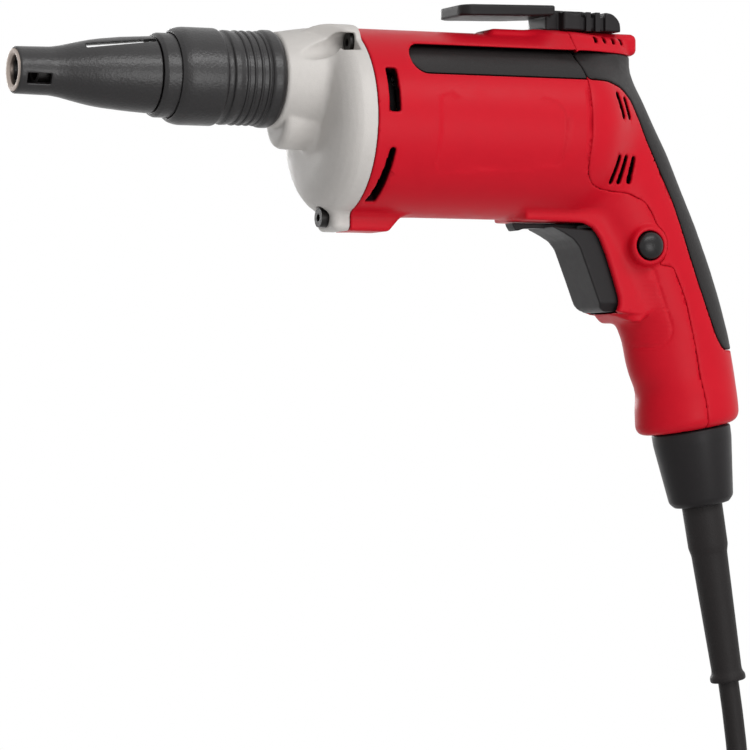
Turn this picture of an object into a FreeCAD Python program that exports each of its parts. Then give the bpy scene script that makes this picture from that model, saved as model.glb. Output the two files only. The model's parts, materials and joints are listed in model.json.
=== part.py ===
import FreeCAD, Part
import math
import os
import Sketcher

Vector = FreeCAD.Vector
Placement = FreeCAD.Placement
Rotation = FreeCAD.Rotation

# A corded drywall screwdriver. The tool frame used below has the spindle axis on X with the nose towards -X,
# x = 0 at the joint between gear case and motor housing, and Z up. Every piece is then shifted so that
# the origin lies at the middle of the hand grip.

SIZES = (
    ("grip_x", 138.0, "hand grip centre behind the case joint"),
    ("grip_drop", 90.0, "hand grip centre below the spindle axis"),
    ("run_gap", 0.3, "free gap between pieces that move past each other"),
    ("fit_gap", 0.05, "radial clearance of a running fit"),
    ("overrun", 1.0, "how far a cut runs past a face"),
    ("case_length", 29.0, "gear case from the joint to its front face"),
    ("case_neck_r", 17.2, "gear case radius at its front face"),
    ("case_top_r", 20.0, "gear case radius about the spindle at the joint"),
    ("case_wall", 3.2, "gear case wall"),
    ("snout_length", 37.0, "gear case snout in front of its face"),
    ("snout_r", 12.0, "snout radius inside the depth sleeve"),
    ("shoulder_r", 14.0, "snout radius under the collar"),
    ("shoulder_length", 12.5, "length of the shoulder under the collar"),
    ("ring_inset", 0.8, "depth of the retaining ring groove"),
    ("ring_width", 1.2, "retaining ring thickness"),
    ("ring_rim", 1.2, "retaining ring height over the shoulder"),
    ("collar_length", 40.4, "adjusting collar length"),
    ("collar_r", 18.0, "adjusting collar radius"),
    ("collar_seat", 9.3, "length of the collar that turns on the shoulder"),
    ("sleeve_show", 6.5, "depth sleeve length in front of the collar"),
    ("sleeve_r", 15.5, "depth sleeve radius"),
    ("sleeve_length", 29.5, "depth sleeve length"),
    ("sleeve_bore_r", 13.0, "depth sleeve bore that takes the nosepiece"),
    ("socket_depth", 7.0, "depth of that bore"),
    ("nose_length", 52.9, "nosepiece length in front of the sleeve"),
    ("nose_rear_r", 14.1, "nosepiece radius at the sleeve"),
    ("nose_wall", 2.2, "nosepiece wall"),
    ("skirt_length", 6.0, "nosepiece skirt inside the sleeve"),
    ("tip_r", 7.8, "locator tip radius"),
    ("tip_hole_r", 5.4, "locator tip hole radius"),
    ("tip_length", 2.4, "locator tip length"),
    ("tip_bevel", 0.7, "bevel inside the locator tip"),
    ("window_length", 9.5, "window in the nose barrel"),
    ("window_width", 4.0, "window width"),
    ("window_back", 3.0, "window behind the locator tip"),
    ("slot_width", 1.9, "long slot height"),
    ("slot_inset", 1.1, "long slot below the cone's top line"),
    ("spindle_r", 6.0, "spindle radius"),
    ("bush_wall", 2.5, "spindle bush wall"),
    ("bush_length", 24.0, "spindle bush length"),
    ("seal_length", 3.0, "spindle seal length"),
    ("seal_inset", 1.0, "seal behind the snout's front face"),
    ("spindle_show", 3.0, "spindle in front of the snout"),
    ("flange_r", 11.0, "spindle flange radius"),
    ("flange_width", 2.2, "spindle flange width"),
    ("dog_height", 2.4, "height of the clutch dogs"),
    ("dog_inner_r", 7.4, "inner radius of the clutch dogs"),
    ("dog_gap", 1.3, "open gap of the clutch at rest"),
    ("clutch_travel", 3.0, "spindle travel that closes the clutch"),
    ("pilot_r", 3.0, "spindle pilot radius"),
    ("pilot_length", 11.0, "spindle pilot length"),
    ("hex_flats", 6.35, "hexagon across flats"),
    ("hex_gap", 0.1, "clearance across the hexagon flats"),
    ("hex_depth", 16.0, "hexagon depth in the spindle"),
    ("holder_r", 5.2, "bit holder radius"),
    ("holder_length", 52.0, "bit holder length in front of the spindle"),
    ("bit_depth", 9.5, "depth of the bit socket"),
    ("magnet_r", 2.6, "magnet radius"),
    ("magnet_length", 5.0, "magnet length"),
    ("washer_width", 1.2, "thrust washer thickness"),
    ("washer_r", 10.0, "thrust washer radius"),
    ("chamber_depth", 23.4, "gear chamber depth from the joint"),
    ("chamber_r", 14.2, "gear chamber radius"),
    ("tooth_module", 0.75, "gear tooth module"),
    ("tooth_backlash", 0.16, "backlash between the teeth"),
    ("gear_width", 6.2, "drive gear face width"),
    ("gear_back", 6.3, "drive gear rear face in front of the joint"),
    ("stub_r", 5.0, "drive gear stub radius"),
    ("stub_length", 4.6, "drive gear stub length"),
    ("gear_bush_wall", 1.5, "gear bush wall"),
    ("plate_width", 5.0, "bearing plate thickness"),
    ("plate_inset", 4.0, "bearing plate edge inside the motor bore"),
    ("plate_hub_r", 14.0, "bearing plate hub radius"),
    ("plate_hub_length", 6.5, "bearing plate hub length"),
    ("motor_r", 35.0, "motor barrel radius"),
    ("barrel_wall", 4.0, "motor barrel wall"),
    ("barrel_length", 86.0, "motor barrel up to the cover seam"),
    ("cap_length", 27.0, "rounded end of the barrel"),
    ("shaft_r", 4.0, "armature shaft radius"),
    ("shaft_length", 83.0, "armature shaft behind the joint"),
    ("bearing_r", 11.0, "front bearing outer radius"),
    ("bearing_width", 7.0, "front bearing width"),
    ("rear_bearing_r", 9.5, "rear bearing outer radius"),
    ("rear_bearing_width", 6.0, "rear bearing width"),
    ("rear_bearing_x", 75.5, "front face of the rear bearing"),
    ("ball_r", 1.9, "bearing ball radius"),
    ("fan_r", 27.0, "fan radius"),
    ("fan_x", 8.0, "fan front face"),
    ("fan_width", 6.0, "fan width"),
    ("fan_plate", 1.6, "fan disc thickness"),
    ("core_r", 16.0, "armature core radius"),
    ("core_x", 22.0, "armature core front face"),
    ("core_length", 34.0, "armature core length"),
    ("winding_r", 14.0, "winding head radius"),
    ("winding_length", 6.0, "winding head length"),
    ("winding_slot", 3.0, "armature slot width"),
    ("winding_depth", 6.0, "armature slot depth"),
    ("comm_r", 11.0, "commutator radius"),
    ("comm_length", 10.0, "commutator length"),
    ("comm_slot", 0.6, "slit between commutator bars"),
    ("air_gap", 0.8, "air gap between armature and stator"),
    ("stator_ring", 6.0, "stator yoke thickness"),
    ("stator_flat", 27.5, "half width over the stator flats"),
    ("pole_half", 10.5, "half width of a pole"),
    ("coil_wall", 2.6, "field coil thickness"),
    ("coil_head", 4.5, "field coil overhang past the core"),
    ("bracket_x", 66.0, "brush bracket front face"),
    ("bracket_width", 6.5, "brush bracket ring width"),
    ("bracket_inner_r", 19.0, "brush bracket ring inner radius"),
    ("bracket_web", 3.0, "brush bracket web"),
    ("brush_long", 5.0, "brush width along the shaft"),
    ("brush_tall", 6.5, "brush width around the shaft"),
    ("brush_reach", 8.0, "brush length"),
    ("holder_wall", 1.0, "brush holder wall"),
    ("holder_reach", 15.0, "brush holder length"),
    ("brush_wire_r", 0.35, "brush spring wire radius"),
    ("handle_wall", 3.0, "handle wall"),
    ("handle_long", 24.0, "half depth of the handle behind the trigger"),
    ("handle_wide", 17.5, "half width of the handle behind the trigger"),
    ("handle_top", 20.4, "top of the handle section over the spindle axis"),
    ("base_x", 145.5, "middle of the handle base"),
    ("base_drop", 128.6, "middle of the handle base below the spindle axis"),
    ("base_tilt", 9.5, "tilt of the handle base in degrees"),
    ("ridge_rise", 21.6, "top of the ridge over the spindle axis"),
    ("ridge_front", 57.0, "front of the ridge"),
    ("ridge_back", 121.6, "rear end of the ridge"),
    ("ridge_lip", 3.2, "thickness of the ridge's rear lip"),
    ("ridge_half", 9.0, "half width of the ridge"),
    ("foot_drop", 55.8, "bottom of the foot below the spindle axis"),
    ("foot_half", 8.0, "half width of the foot"),
    ("foot_length", 15.5, "foot length under the housing"),
    ("foot_front", 10.0, "foot length under the gear case"),
    ("foot_round", 3.0, "rounding of the foot"),
    ("boss_y", 14.0, "upper screw bosses from the middle plane"),
    ("boss_z", 13.3, "upper screw bosses over the spindle axis"),
    ("boss_r", 7.0, "upper screw boss radius"),
    ("boss_front", 4.4, "upper screw boss in front of the joint"),
    ("boss_back", 1.0, "upper screw boss behind the joint"),
    ("screw_r", 2.0, "screw shank radius"),
    ("screw_head_r", 3.6, "screw head radius"),
    ("screw_head", 3.0, "screw head height"),
    ("screw_length", 20.0, "screw shank length"),
    ("recess_r", 1.5, "screw drive recess radius"),
    ("recess_depth", 1.8, "screw drive recess depth"),
    ("grip_skin", 1.5, "soft grip thickness"),
    ("band_top", 13.2, "soft band upper edge over the spindle axis"),
    ("band_low", 1.6, "soft band lower edge over the spindle axis"),
    ("band_front", 17.0, "soft band front end"),
    ("label_depth", 0.7, "depth of the bare label panel"),
    ("label_front", 28.0, "front of the label panel"),
    ("label_length", 50.0, "length of the label panel"),
    ("vent_x", 4.6, "front vents behind the joint"),
    ("vent_width", 4.0, "front vent width"),
    ("slit_width", 1.7, "rear vent slit width"),
    ("slit_length", 9.6, "rear vent slit length"),
    ("trigger_half", 11.5, "half width of the trigger"),
    ("trigger_drop", 53.4, "top of the trigger below the spindle axis"),
    ("trigger_tall", 31.0, "trigger height"),
    ("trigger_front", 81.0, "front top corner of the trigger"),
    ("trigger_deep", 32.5, "trigger depth in all"),
    ("trigger_travel", 6.0, "trigger stroke"),
    ("trigger_round", 3.5, "rounding of the trigger's front edges"),
    ("rim_wall", 2.7, "housing wall beside the trigger"),
    ("stem_r", 3.0, "trigger stem radius"),
    ("stem_length", 9.0, "trigger stem length"),
    ("switch_x", 120.0, "front face of the switch body"),
    ("switch_long", 17.0, "switch body length"),
    ("switch_half", 9.0, "half width of the switch body"),
    ("switch_drop", 54.0, "top of the switch body below the spindle axis"),
    ("switch_tall", 26.0, "switch body height"),
    ("lever_x", 92.0, "pivot of the reversing lever"),
    ("lever_pin_r", 2.6, "pivot pin radius of the reversing lever"),
    ("lever_reach", 23.6, "reversing lever length"),
    ("lever_half", 3.4, "half width of the reversing lever"),
    ("lever_thick", 1.9, "reversing lever thickness"),
    ("lever_tab", 2.9, "drop of the reversing lever's tab"),
    ("button_x", 118.0, "lock button behind the joint"),
    ("button_drop", 59.6, "lock button below the spindle axis"),
    ("button_r", 5.3, "lock button radius"),
    ("button_dome", 2.0, "lock button dome height"),
    ("button_travel", 2.5, "lock button stroke"),
    ("button_flange", 1.0, "lock button flange rim"),
    ("button_collar", 7.6, "radius of the boss around the lock button"),
    ("button_side", 20.8, "outer face of that boss from the middle plane"),
    ("button_stem", 2.2, "lock button stem radius"),
    ("spring_wire_r", 0.4, "spring wire radius"),
    ("clip_front", 46.0, "front end of the belt clip arm"),
    ("clip_back", 110.0, "rear end of the belt clip"),
    ("clip_post", 78.0, "front of the belt clip post"),
    ("clip_top", 31.0, "top of the belt clip over the spindle axis"),
    ("clip_thick", 3.6, "belt clip arm thickness"),
    ("clip_half", 12.5, "half width of the belt clip"),
    ("clip_post_long", 4.0, "belt clip post length"),
    ("clip_step", 1.2, "step from arm to base"),
    ("clip_round", 2.6, "rounding of the belt clip's rear corner"),
    ("nut_top_r", 15.4, "cord nut radius at the handle"),
    ("nut_end_r", 12.3, "cord nut radius at the cord"),
    ("nut_length", 29.5, "cord nut length"),
    ("nut_round", 2.0, "rounding of the cord nut"),
    ("plug_bore_r", 10.4, "cord connector bore in the nut"),
    ("inlet_depth", 18.0, "power inlet depth in the handle"),
    ("pin_r", 1.2, "inlet pin radius"),
    ("pin_circle", 5.0, "inlet pins from the axis"),
    ("pin_length", 12.0, "inlet pin length past the handle base"),
    ("relief_r", 7.9, "strain relief radius at the nut"),
    ("relief_step_r", 7.1, "strain relief radius behind the step"),
    ("relief_end_r", 5.9, "strain relief radius at its end"),
    ("relief_flange_r", 6.9, "strain relief end flange radius"),
    ("relief_length", 67.0, "strain relief length past the nut"),
    ("cord_r", 4.0, "cord radius"),
    ("lead_straight", 28.0, "straight start of the cord"),
    ("lead_drop", 92.0, "cord from the strain relief down to the coil"),
    ("lead_side", 3.4, "sideways shift of the cord at the coil"),
    ("loop_r", 68.0, "outer turn radius of the coil"),
    ("loop_pitch", 9.3, "spacing of the coil's turns"),
    ("tail_length", 42.0, "cord between coil and plug"),
    ("tie_width", 14.0, "cord tie width"),
    ("tie_thick", 1.2, "cord tie thickness"),
    ("plug_length", 34.0, "plug body length"),
    ("plug_r", 12.5, "plug body half width"),
    ("plug_half", 8.5, "plug body half thickness"),
    ("blade_length", 17.0, "plug blade length"),
    ("blade_wide", 6.4, "plug blade width"),
    ("blade_thick", 1.5, "plug blade thickness"),
    ("blade_apart", 12.7, "distance between the plug blades"),
)

PINION_TEETH = 8
GEAR_TEETH = 32
PRESSURE_ANGLE = math.radians(30.0)
ADDENDUM = 0.8
DOGS = 3
DOG_SWEEP = 52
SPINDLE_DOG_TURN = 64
GEAR_DOG_TURN = 4
WINDOW_ROLL = -25
VENT_ANGLES = (("upper", 3, 29), ("lower", -62, 44))
LABEL_START = -35
LABEL_SWEEP = 50
CORE_SLOTS = 12
COMMUTATOR_BARS = 24
FAN_BLADES = 11
FRONT_BALLS = 9
REAR_BALLS = 8
SPRING_TURNS = 3
BRUSH_SPRING_TURNS = 4
DETENT_SPRING_TURNS = 5
TURNS = 7

document = FreeCAD.newDocument("drywall_screwdriver")
sheet = document.addObject("Spreadsheet::Sheet", "Sizes")


class Size:
    """A size that holds its number and its formula over the sheet."""

    def __init__(self, number, formula):
        self.number = float(number)
        self.formula = formula

    def join(self, other, sign, number):
        return Size(number, "(%s %s %s)" % (self.formula, sign, size(other).formula))

    def __add__(self, other):
        return self.join(other, "+", self.number + size(other).number)

    def __sub__(self, other):
        return self.join(other, "-", self.number - size(other).number)

    def __mul__(self, other):
        return self.join(other, "*", self.number * size(other).number)

    def __truediv__(self, other):
        return self.join(other, "/", self.number / size(other).number)

    def __neg__(self):
        return Size(-self.number, "(0 - %s)" % self.formula)


def size(value):
    """A plain share or zero as a Size."""
    if isinstance(value, Size):
        return value
    return Size(value, repr(float(value)))


def leg(slant, other):
    """The third side of a right triangle as a Size."""
    number = math.sqrt(slant.number ** 2 - other.number ** 2)
    return Size(number, "sqrt(%s ^ 2 - %s ^ 2)" % (slant.formula, other.formula))


class Named:
    """Holds every named size."""


d = Named()
for row, (name, value, note) in enumerate(SIZES, 1):
    sheet.set("A%d" % row, note)
    sheet.set("B%d" % row, str(value))
    sheet.setAlias("B%d" % row, name)
    setattr(d, name, Size(value, "Sizes." + name))
document.recompute()

NODES = []


def bind(item, prop, value):
    """Drives a property from the sheet."""
    item.setExpression(prop, size(value).formula)


def put(item, x=0, y=0, z=0, axis=None, angle=0):
    """Places an object given in the tool frame, about the grip's origin."""
    turn = Rotation()
    if axis is not None:
        turn = Rotation(Vector(*axis), size(angle).number)
    base = (size(x) - d.grip_x, size(y), size(z) + d.grip_drop)
    item.Placement = Placement(Vector(*[b.number for b in base]), turn)
    for letter, value in zip("xyz", base):
        bind(item, "Placement.Base." + letter, value)
    if axis is not None:
        bind(item, "Placement.Rotation.Angle", angle)
    return item


def node(item, label):
    """Marks an object as a finished piece."""
    item.Label = label
    NODES.append(item)
    return item


def plane(body, role):
    return [f for f in body.Origin.OriginFeatures if f.Role == role][0]


def sketch_on(owner, name, role, lift=None, shift=None, roll=None):
    """A sketch on one of its body's planes, lifted along the normal or shifted in the plane."""
    sketch = owner.newObject("Sketcher::SketchObject", name)
    sketch.AttachmentSupport = [(plane(owner, role), "")]
    sketch.MapMode = "FlatFace"
    if roll is not None:
        sketch.AttachmentOffset = Placement(Vector(), Rotation(Vector(1, 0, 0), roll))
    if lift is not None:
        bind(sketch, "AttachmentOffset.Base.z", lift)
    if shift is not None:
        bind(sketch, "AttachmentOffset.Base.y", shift)
    return sketch


def outline(sketch, points):
    """A closed polygon whose corners are driven by sizes."""
    spots = [(size(p[0]), size(p[1])) for p in points]
    first = sketch.GeometryCount
    count = len(spots)
    for i in range(count):
        a = spots[i]
        b = spots[(i + 1) % count]
        start = Vector(a[0].number, a[1].number, 0)
        sketch.addGeometry(Part.LineSegment(start, Vector(b[0].number, b[1].number, 0)), False)
    for i in range(count):
        after = first + (i + 1) % count
        sketch.addConstraint(Sketcher.Constraint("Coincident", first + i, 2, after, 1))
    for i, spot in enumerate(spots):
        for kind, value in zip(("DistanceX", "DistanceY"), spot):
            at = sketch.addConstraint(Sketcher.Constraint(kind, -1, 1, first + i, 1, value.number))
            bind(sketch, "Constraints[%d]" % at, value)
    return sketch


def ring(sketch, across, up, radius):
    """A circle driven by sizes."""
    across = size(across)
    up = size(up)
    radius = size(radius)
    centre = Vector(across.number, up.number, 0)
    at = sketch.addGeometry(Part.Circle(centre, Vector(0, 0, 1), radius.number), False)
    for kind, value in zip(("DistanceX", "DistanceY"), (across, up)):
        line = sketch.addConstraint(Sketcher.Constraint(kind, -1, 1, at, 3, value.number))
        bind(sketch, "Constraints[%d]" % line, value)
    line = sketch.addConstraint(Sketcher.Constraint("Radius", at, radius.number))
    bind(sketch, "Constraints[%d]" % line, radius)
    return sketch


def feature(owner, kind, name, sketch, **settings):
    """A PartDesign feature on a sketch."""
    item = owner.newObject("PartDesign::" + kind, name)
    item.Profile = sketch
    for key, value in settings.items():
        if isinstance(value, Size):
            bind(item, key, value)
        else:
            setattr(item, key, value)
    document.recompute()
    owner.Tip = item
    return item


def spin(owner, name, points, shift=None, cut=False):
    """Turns a profile of (x, radius) corners about the X axis, raised by shift."""
    sketch = outline(sketch_on(owner, name + "_profile", "XZ_Plane", shift=shift), points)
    kind = "Groove" if cut else "Revolution"
    return feature(owner, kind, name, sketch, ReferenceAxis=(sketch, ["H_Axis"]), Angle=360.0)


def body(label, **place):
    item = document.addObject("PartDesign::Body", label)
    put(item, **place)
    return node(item, label)


def turned(label, points, **place):
    """A turned piece about its own X axis."""
    item = body(label, **place)
    spin(item, label + "_turn", points)
    return item


def around(owner, feature_made, count, name):
    """Repeats a feature around the X axis."""
    pattern = owner.newObject("PartDesign::PolarPattern", name)
    pattern.Originals = [feature_made]
    pattern.Axis = ([f for f in owner.Origin.OriginFeatures if f.Role == "X_Axis"][0], [""])
    pattern.Angle = 360.0
    pattern.Occurrences = count
    owner.Tip = pattern
    document.recompute()
    return pattern


def near(a, b):
    return abs(a - b) < d.fit_gap.number / 5


def primitive(kind, name, **settings):
    item = document.addObject("Part::" + kind, name)
    for key, value in settings.items():
        bind(item, key, value)
    return item


def block(name, low, high):
    """A box between two corners given in the tool frame."""
    low = [size(v) for v in low]
    high = [size(v) for v in high]
    item = primitive("Box", name, Length=high[0] - low[0], Width=high[1] - low[1], Height=high[2] - low[2])
    return put(item, *low)


def rod(name, x, y, z, radius, length):
    """A cylinder along +X."""
    return put(primitive("Cylinder", name, Radius=radius, Height=length), x, y, z, (0, 1, 0), 90)


def side_rod(name, x, y, z, radius, length):
    """A cylinder along +Y."""
    return put(primitive("Cylinder", name, Radius=radius, Height=length), x, y, z, (1, 0, 0), -90)


def prism(name, points, half):
    """A side outline in the XZ plane made solid to both sides of the middle plane."""
    owner = put(document.addObject("PartDesign::Body", name))
    sketch = outline(sketch_on(owner, name + "_outline", "XZ_Plane"), points)
    feature(owner, "Pad", name + "_pad", sketch, Length=size(half) * 2, SideType="Symmetric")
    return owner


def fused(name, items):
    item = document.addObject("Part::MultiFuse", name)
    item.Shapes = items
    item.Refine = False
    return item


def common(name, items):
    item = document.addObject("Part::MultiCommon", name)
    item.Shapes = items
    item.Refine = False
    return item


def cut(name, base, tools):
    """A boolean cut by one or more tools."""
    item = document.addObject("Part::Cut", name)
    item.Refine = False
    item.Base = base
    item.Tool = tools[0] if len(tools) == 1 else fused(name + "_tools", tools)
    return item


def group(label, items):
    item = document.addObject("Part::Compound", label)
    item.Links = items
    return node(item, label)


def solid_piece(label, shape, **place):
    """A piece whose shape is worked out from the sheet's sizes in code."""
    item = document.addObject("Part::Feature", label)
    item.Shape = Part.makeCompound([shape])
    put(item, **place)
    return node(item, label)


def helix_spring(label, radius, wire, height, turns, frenet=False, **place):
    """A coil spring along its own X axis."""
    radius = size(radius).number
    wire = size(wire).number
    height = size(height).number
    path = Part.makeHelix(height / turns, height, radius)
    start = Vector(radius, 0, 0)
    circle = Part.Wire(Part.makeCircle(wire, start, Vector(0, radius, height / turns / 2 / math.pi)))
    shape = Part.Wire(path).makePipeShell([circle], True, frenet)
    shape.rotate(Vector(), Vector(0, 1, 0), 90)
    return solid_piece(label, shape, **place)


# Stations along the spindle axis, from the joint forward.
case_face = -d.case_length
collar_back = case_face - d.run_gap
collar_front = collar_back - d.collar_length
sleeve_front = collar_front - d.sleeve_show
nose_back = sleeve_front - d.run_gap
nose_front = nose_back - d.nose_length
snout_front = case_face - d.snout_length
shoulder_front = case_face - d.shoulder_length
motor_drop = d.tooth_module * (PINION_TEETH + GEAR_TEETH) / 2
motor_z = -motor_drop

# Nosepiece and locator tip. The outline runs from the tip to the sleeve as shares of length and rear radius.
nose_shares = (
    (0.0, 0.62), (0.29, 0.617), (0.335, 0.645), (0.38, 0.69), (0.44, 0.755), (0.52, 0.825),
    (0.6, 0.88), (0.7, 0.93), (0.82, 0.975), (1.0, 1.0),
)
skirt_r = d.sleeve_bore_r - d.fit_gap
nose_outer = [(nose_front + d.nose_length * a, d.nose_rear_r * b) for a, b in nose_shares]
nose_inner_shares = ((1.0, 1.0), (0.6, 0.88), (0.44, 0.755), (0.335, 0.645))
nose_inner = [(nose_front + d.nose_length * a, d.nose_rear_r * b - d.nose_wall) for a, b in nose_inner_shares]
nose_inner[0] = (nose_back + d.skirt_length, skirt_r - d.nose_wall)
tip_back = nose_front + d.tip_length
nosepiece = turned("nosepiece", nose_outer + [
    (nose_back, skirt_r), (nose_back + d.skirt_length, skirt_r)] + nose_inner + [
    (tip_back, d.nose_rear_r * nose_shares[1][1] - d.nose_wall), (tip_back, d.tip_r), (nose_front, d.tip_r)])
window_front = tip_back + d.window_back
window = sketch_on(nosepiece, "nose_window_outline", "XZ_Plane", roll=WINDOW_ROLL)
outline(window, [(window_front, -d.window_width / 2), (window_front + d.window_length, -d.window_width / 2),
                 (window_front + d.window_length, d.window_width / 2), (window_front, d.window_width / 2)])
feature(nosepiece, "Pocket", "nose_window", window, Type="ThroughAll", SideType="Symmetric")
slot_front_share = 0.52
slot_back_share = 0.97
slot_low = d.slot_inset + d.slot_width
slot = sketch_on(nosepiece, "nose_slot_outline", "XZ_Plane")
slot_front = nose_front + d.nose_length * slot_front_share
slot_back = nose_front + d.nose_length * slot_back_share
front_r = d.nose_rear_r * dict(nose_shares)[slot_front_share]
outline(slot, [(slot_front, front_r - slot_low), (slot_back, d.nose_rear_r - slot_low),
               (slot_back, d.nose_rear_r - d.slot_inset), (slot_front, front_r - d.slot_inset)])
feature(nosepiece, "Pocket", "nose_slot", slot, Type="ThroughAll", SideType="Symmetric")
turned("locator_tip", [
    (nose_front, d.tip_hole_r + d.tip_bevel), (nose_front, d.tip_r), (tip_back, d.tip_r),
    (tip_back, d.tip_hole_r), (nose_front + d.tip_bevel, d.tip_hole_r)])

# Depth sleeve, adjusting collar and what holds the collar.
sleeve_back = sleeve_front + d.sleeve_length
guide_r = d.snout_r + d.fit_gap
turned("depth_sleeve", [
    (sleeve_front, d.sleeve_bore_r), (sleeve_front, d.sleeve_r - d.label_depth),
    (sleeve_front + d.label_depth * 2, d.sleeve_r), (sleeve_back, d.sleeve_r), (sleeve_back, guide_r),
    (sleeve_front + d.socket_depth, guide_r), (sleeve_front + d.socket_depth, d.sleeve_bore_r)])
collar_shares = (
    (0.0, 0.905), (0.09, 0.995), (0.41, 1.0), (0.418, 0.93), (0.455, 0.93), (0.463, 0.965),
    (0.5, 0.968), (0.525, 0.945), (0.55, 0.968), (0.6, 0.968), (0.625, 0.945), (0.65, 0.968),
    (0.7, 0.968), (0.725, 0.945), (0.75, 0.968), (0.8, 0.968), (0.825, 0.945), (0.85, 0.97),
    (0.88, 1.005), (0.955, 1.005), (1.0, 0.95),
)
collar_outer = [(collar_front + d.collar_length * a, d.collar_r * b) for a, b in collar_shares]
collar_bore_r = d.sleeve_r + d.fit_gap
collar_seat_r = d.shoulder_r + d.fit_gap
seat_front = collar_back - d.collar_seat
groove_back = seat_front - d.run_gap
groove_front = groove_back - d.ring_width
detent_share = 0.4
detent_r = d.shoulder_r + (d.collar_r - d.shoulder_r) * detent_share
detent_ball_r = (d.collar_r - d.shoulder_r) / 5
track_r = detent_ball_r + d.run_gap
collar = turned("adjusting_collar", [(collar_front, collar_bore_r)] + collar_outer + [
    (collar_back, detent_r + track_r), (collar_back - track_r, detent_r + track_r),
    (collar_back - track_r, detent_r - track_r), (collar_back, detent_r - track_r),
    (collar_back, collar_seat_r), (seat_front, collar_seat_r), (seat_front, collar_bore_r)])
turned("collar_retaining_ring", [
    (groove_front, d.shoulder_r - d.ring_inset), (groove_front, d.shoulder_r + d.ring_rim),
    (groove_back, d.shoulder_r + d.ring_rim), (groove_back, d.shoulder_r - d.ring_inset)])
ball = put(primitive("Sphere", "detent_ball", Radius=detent_ball_r), case_face, 0, -detent_r)
node(ball, "detent_ball")
detent_depth = detent_ball_r * 5
helix_spring("detent_spring", detent_ball_r - d.brush_wire_r, d.brush_wire_r,
             detent_depth - detent_ball_r - d.brush_wire_r * 2, DETENT_SPRING_TURNS,
             x=case_face + detent_ball_r + d.brush_wire_r, z=-detent_r)

# Spindle, clutch and gear. The clutch is open at rest and closes when the bit is pushed in.
gear_rear = -d.gear_back
gear_face = gear_rear - d.gear_width
gear_dog_tip = gear_face - d.dog_height
spindle_dog_tip = gear_dog_tip - d.dog_gap
flange_back = spindle_dog_tip - d.dog_height
flange_front = flange_back - d.flange_width
spindle_front = snout_front - d.spindle_show
bush_front = snout_front + d.seal_inset + d.seal_length
bush_back = bush_front + d.bush_length
bore_r = d.spindle_r + d.bush_wall
pitch_r = d.tooth_module * GEAR_TEETH / 2


def hexagon(name, x, length, flats):
    """A hexagon prism along +X."""
    item = primitive("Prism", name, Circumradius=size(flats) / math.sqrt(3), Height=length)
    item.Polygon = 6
    return put(item, x, 0, 0, (0, 1, 0), 90)


def dogs(x, length, turn):
    """Three clutch dogs as ring sectors along +X."""
    lobes = []
    for i in range(DOGS):
        lobe = Part.makeCylinder(d.flange_r.number, length.number, Vector(), Vector(0, 0, 1), DOG_SWEEP)
        lobe = lobe.cut(Part.makeCylinder(d.dog_inner_r.number, length.number))
        lobe.rotate(Vector(), Vector(0, 0, 1), 360 * i / DOGS + turn)
        lobe.rotate(Vector(), Vector(0, 1, 0), 90)
        lobe.translate(Vector(x.number, 0, 0))
        lobes.append(lobe)
    return lobes


def turning(points):
    """A turned solid about X from (x, radius) corners."""
    corners = [Vector(size(a).number, 0, size(b).number) for a, b in points]
    face = Part.Face(Part.makePolygon(corners + corners[:1]))
    return face.revolve(Vector(), Vector(1, 0, 0), 360)


def teeth(count, x, width, turn):
    """Involute teeth as a prism along +X, one tooth centred on +Z before the turn."""
    module = d.tooth_module.number
    pitch = module * count / 2
    base = pitch * math.cos(PRESSURE_ANGLE)
    tip = pitch + module * ADDENDUM
    root = pitch - module
    involute = math.tan(PRESSURE_ANGLE) - PRESSURE_ANGLE
    half = math.pi / count / 2 - d.tooth_backlash.number / 4 / pitch

    def flank(radius):
        angle = math.acos(min(1.0, base / max(radius, base)))
        return half + involute - (math.tan(angle) - angle)

    start = max(root, base)
    radii = [start + (tip - start) * i / 4 for i in range(5)]
    corners = []
    for i in range(count):
        middle = 2 * math.pi * i / count + turn
        side = [(root, flank(start))] + [(r, flank(r)) for r in radii]
        if near(root, start):
            side = side[1:]
        for r, a in side:
            corners.append((r, middle - a))
        for r, a in reversed(side):
            corners.append((r, middle + a))
    spots = [Vector(x.number, r * math.sin(a), r * math.cos(a)) for r, a in corners]
    face = Part.Face(Part.makePolygon(spots + spots[:1]))
    return face.extrude(Vector(width.number, 0, 0))


spindle_shape = turning([
    (spindle_front, 0), (spindle_front, d.spindle_r), (flange_front, d.spindle_r), (flange_front, d.flange_r),
    (flange_back, d.flange_r), (flange_back, d.pilot_r), (flange_back + d.pilot_length, d.pilot_r),
    (flange_back + d.pilot_length, 0)])
spindle_shape = spindle_shape.multiFuse(dogs(flange_back, d.dog_height, SPINDLE_DOG_TURN)).removeSplitter()
spindle_blank = document.addObject("Part::Feature", "spindle_blank")
spindle_blank.Shape = spindle_shape
put(spindle_blank)
spindle_hex = hexagon("spindle_hex", spindle_front - d.overrun, d.hex_depth + d.overrun, d.hex_flats + d.hex_gap)
node(cut("spindle", spindle_blank, [spindle_hex]), "spindle")
holder_front = spindle_front - d.holder_length
shank = hexagon("holder_shank", spindle_front, d.hex_depth - d.run_gap, d.hex_flats)
holder_round = rod("holder_round", holder_front, 0, 0, d.holder_r, d.holder_length)
bit_hex = hexagon("bit_hex", holder_front - d.overrun, d.bit_depth + d.overrun, d.hex_flats + d.hex_gap)
magnet_x = holder_front + d.bit_depth
magnet_hole = rod("magnet_hole", magnet_x - d.overrun, 0, 0, d.magnet_r, d.magnet_length + d.overrun)
node(cut("bit_holder", fused("holder_blank", [shank, holder_round]), [bit_hex, magnet_hole]), "bit_holder")
node(rod("bit_magnet", magnet_x, 0, 0, d.magnet_r, d.magnet_length), "bit_magnet")
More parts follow.
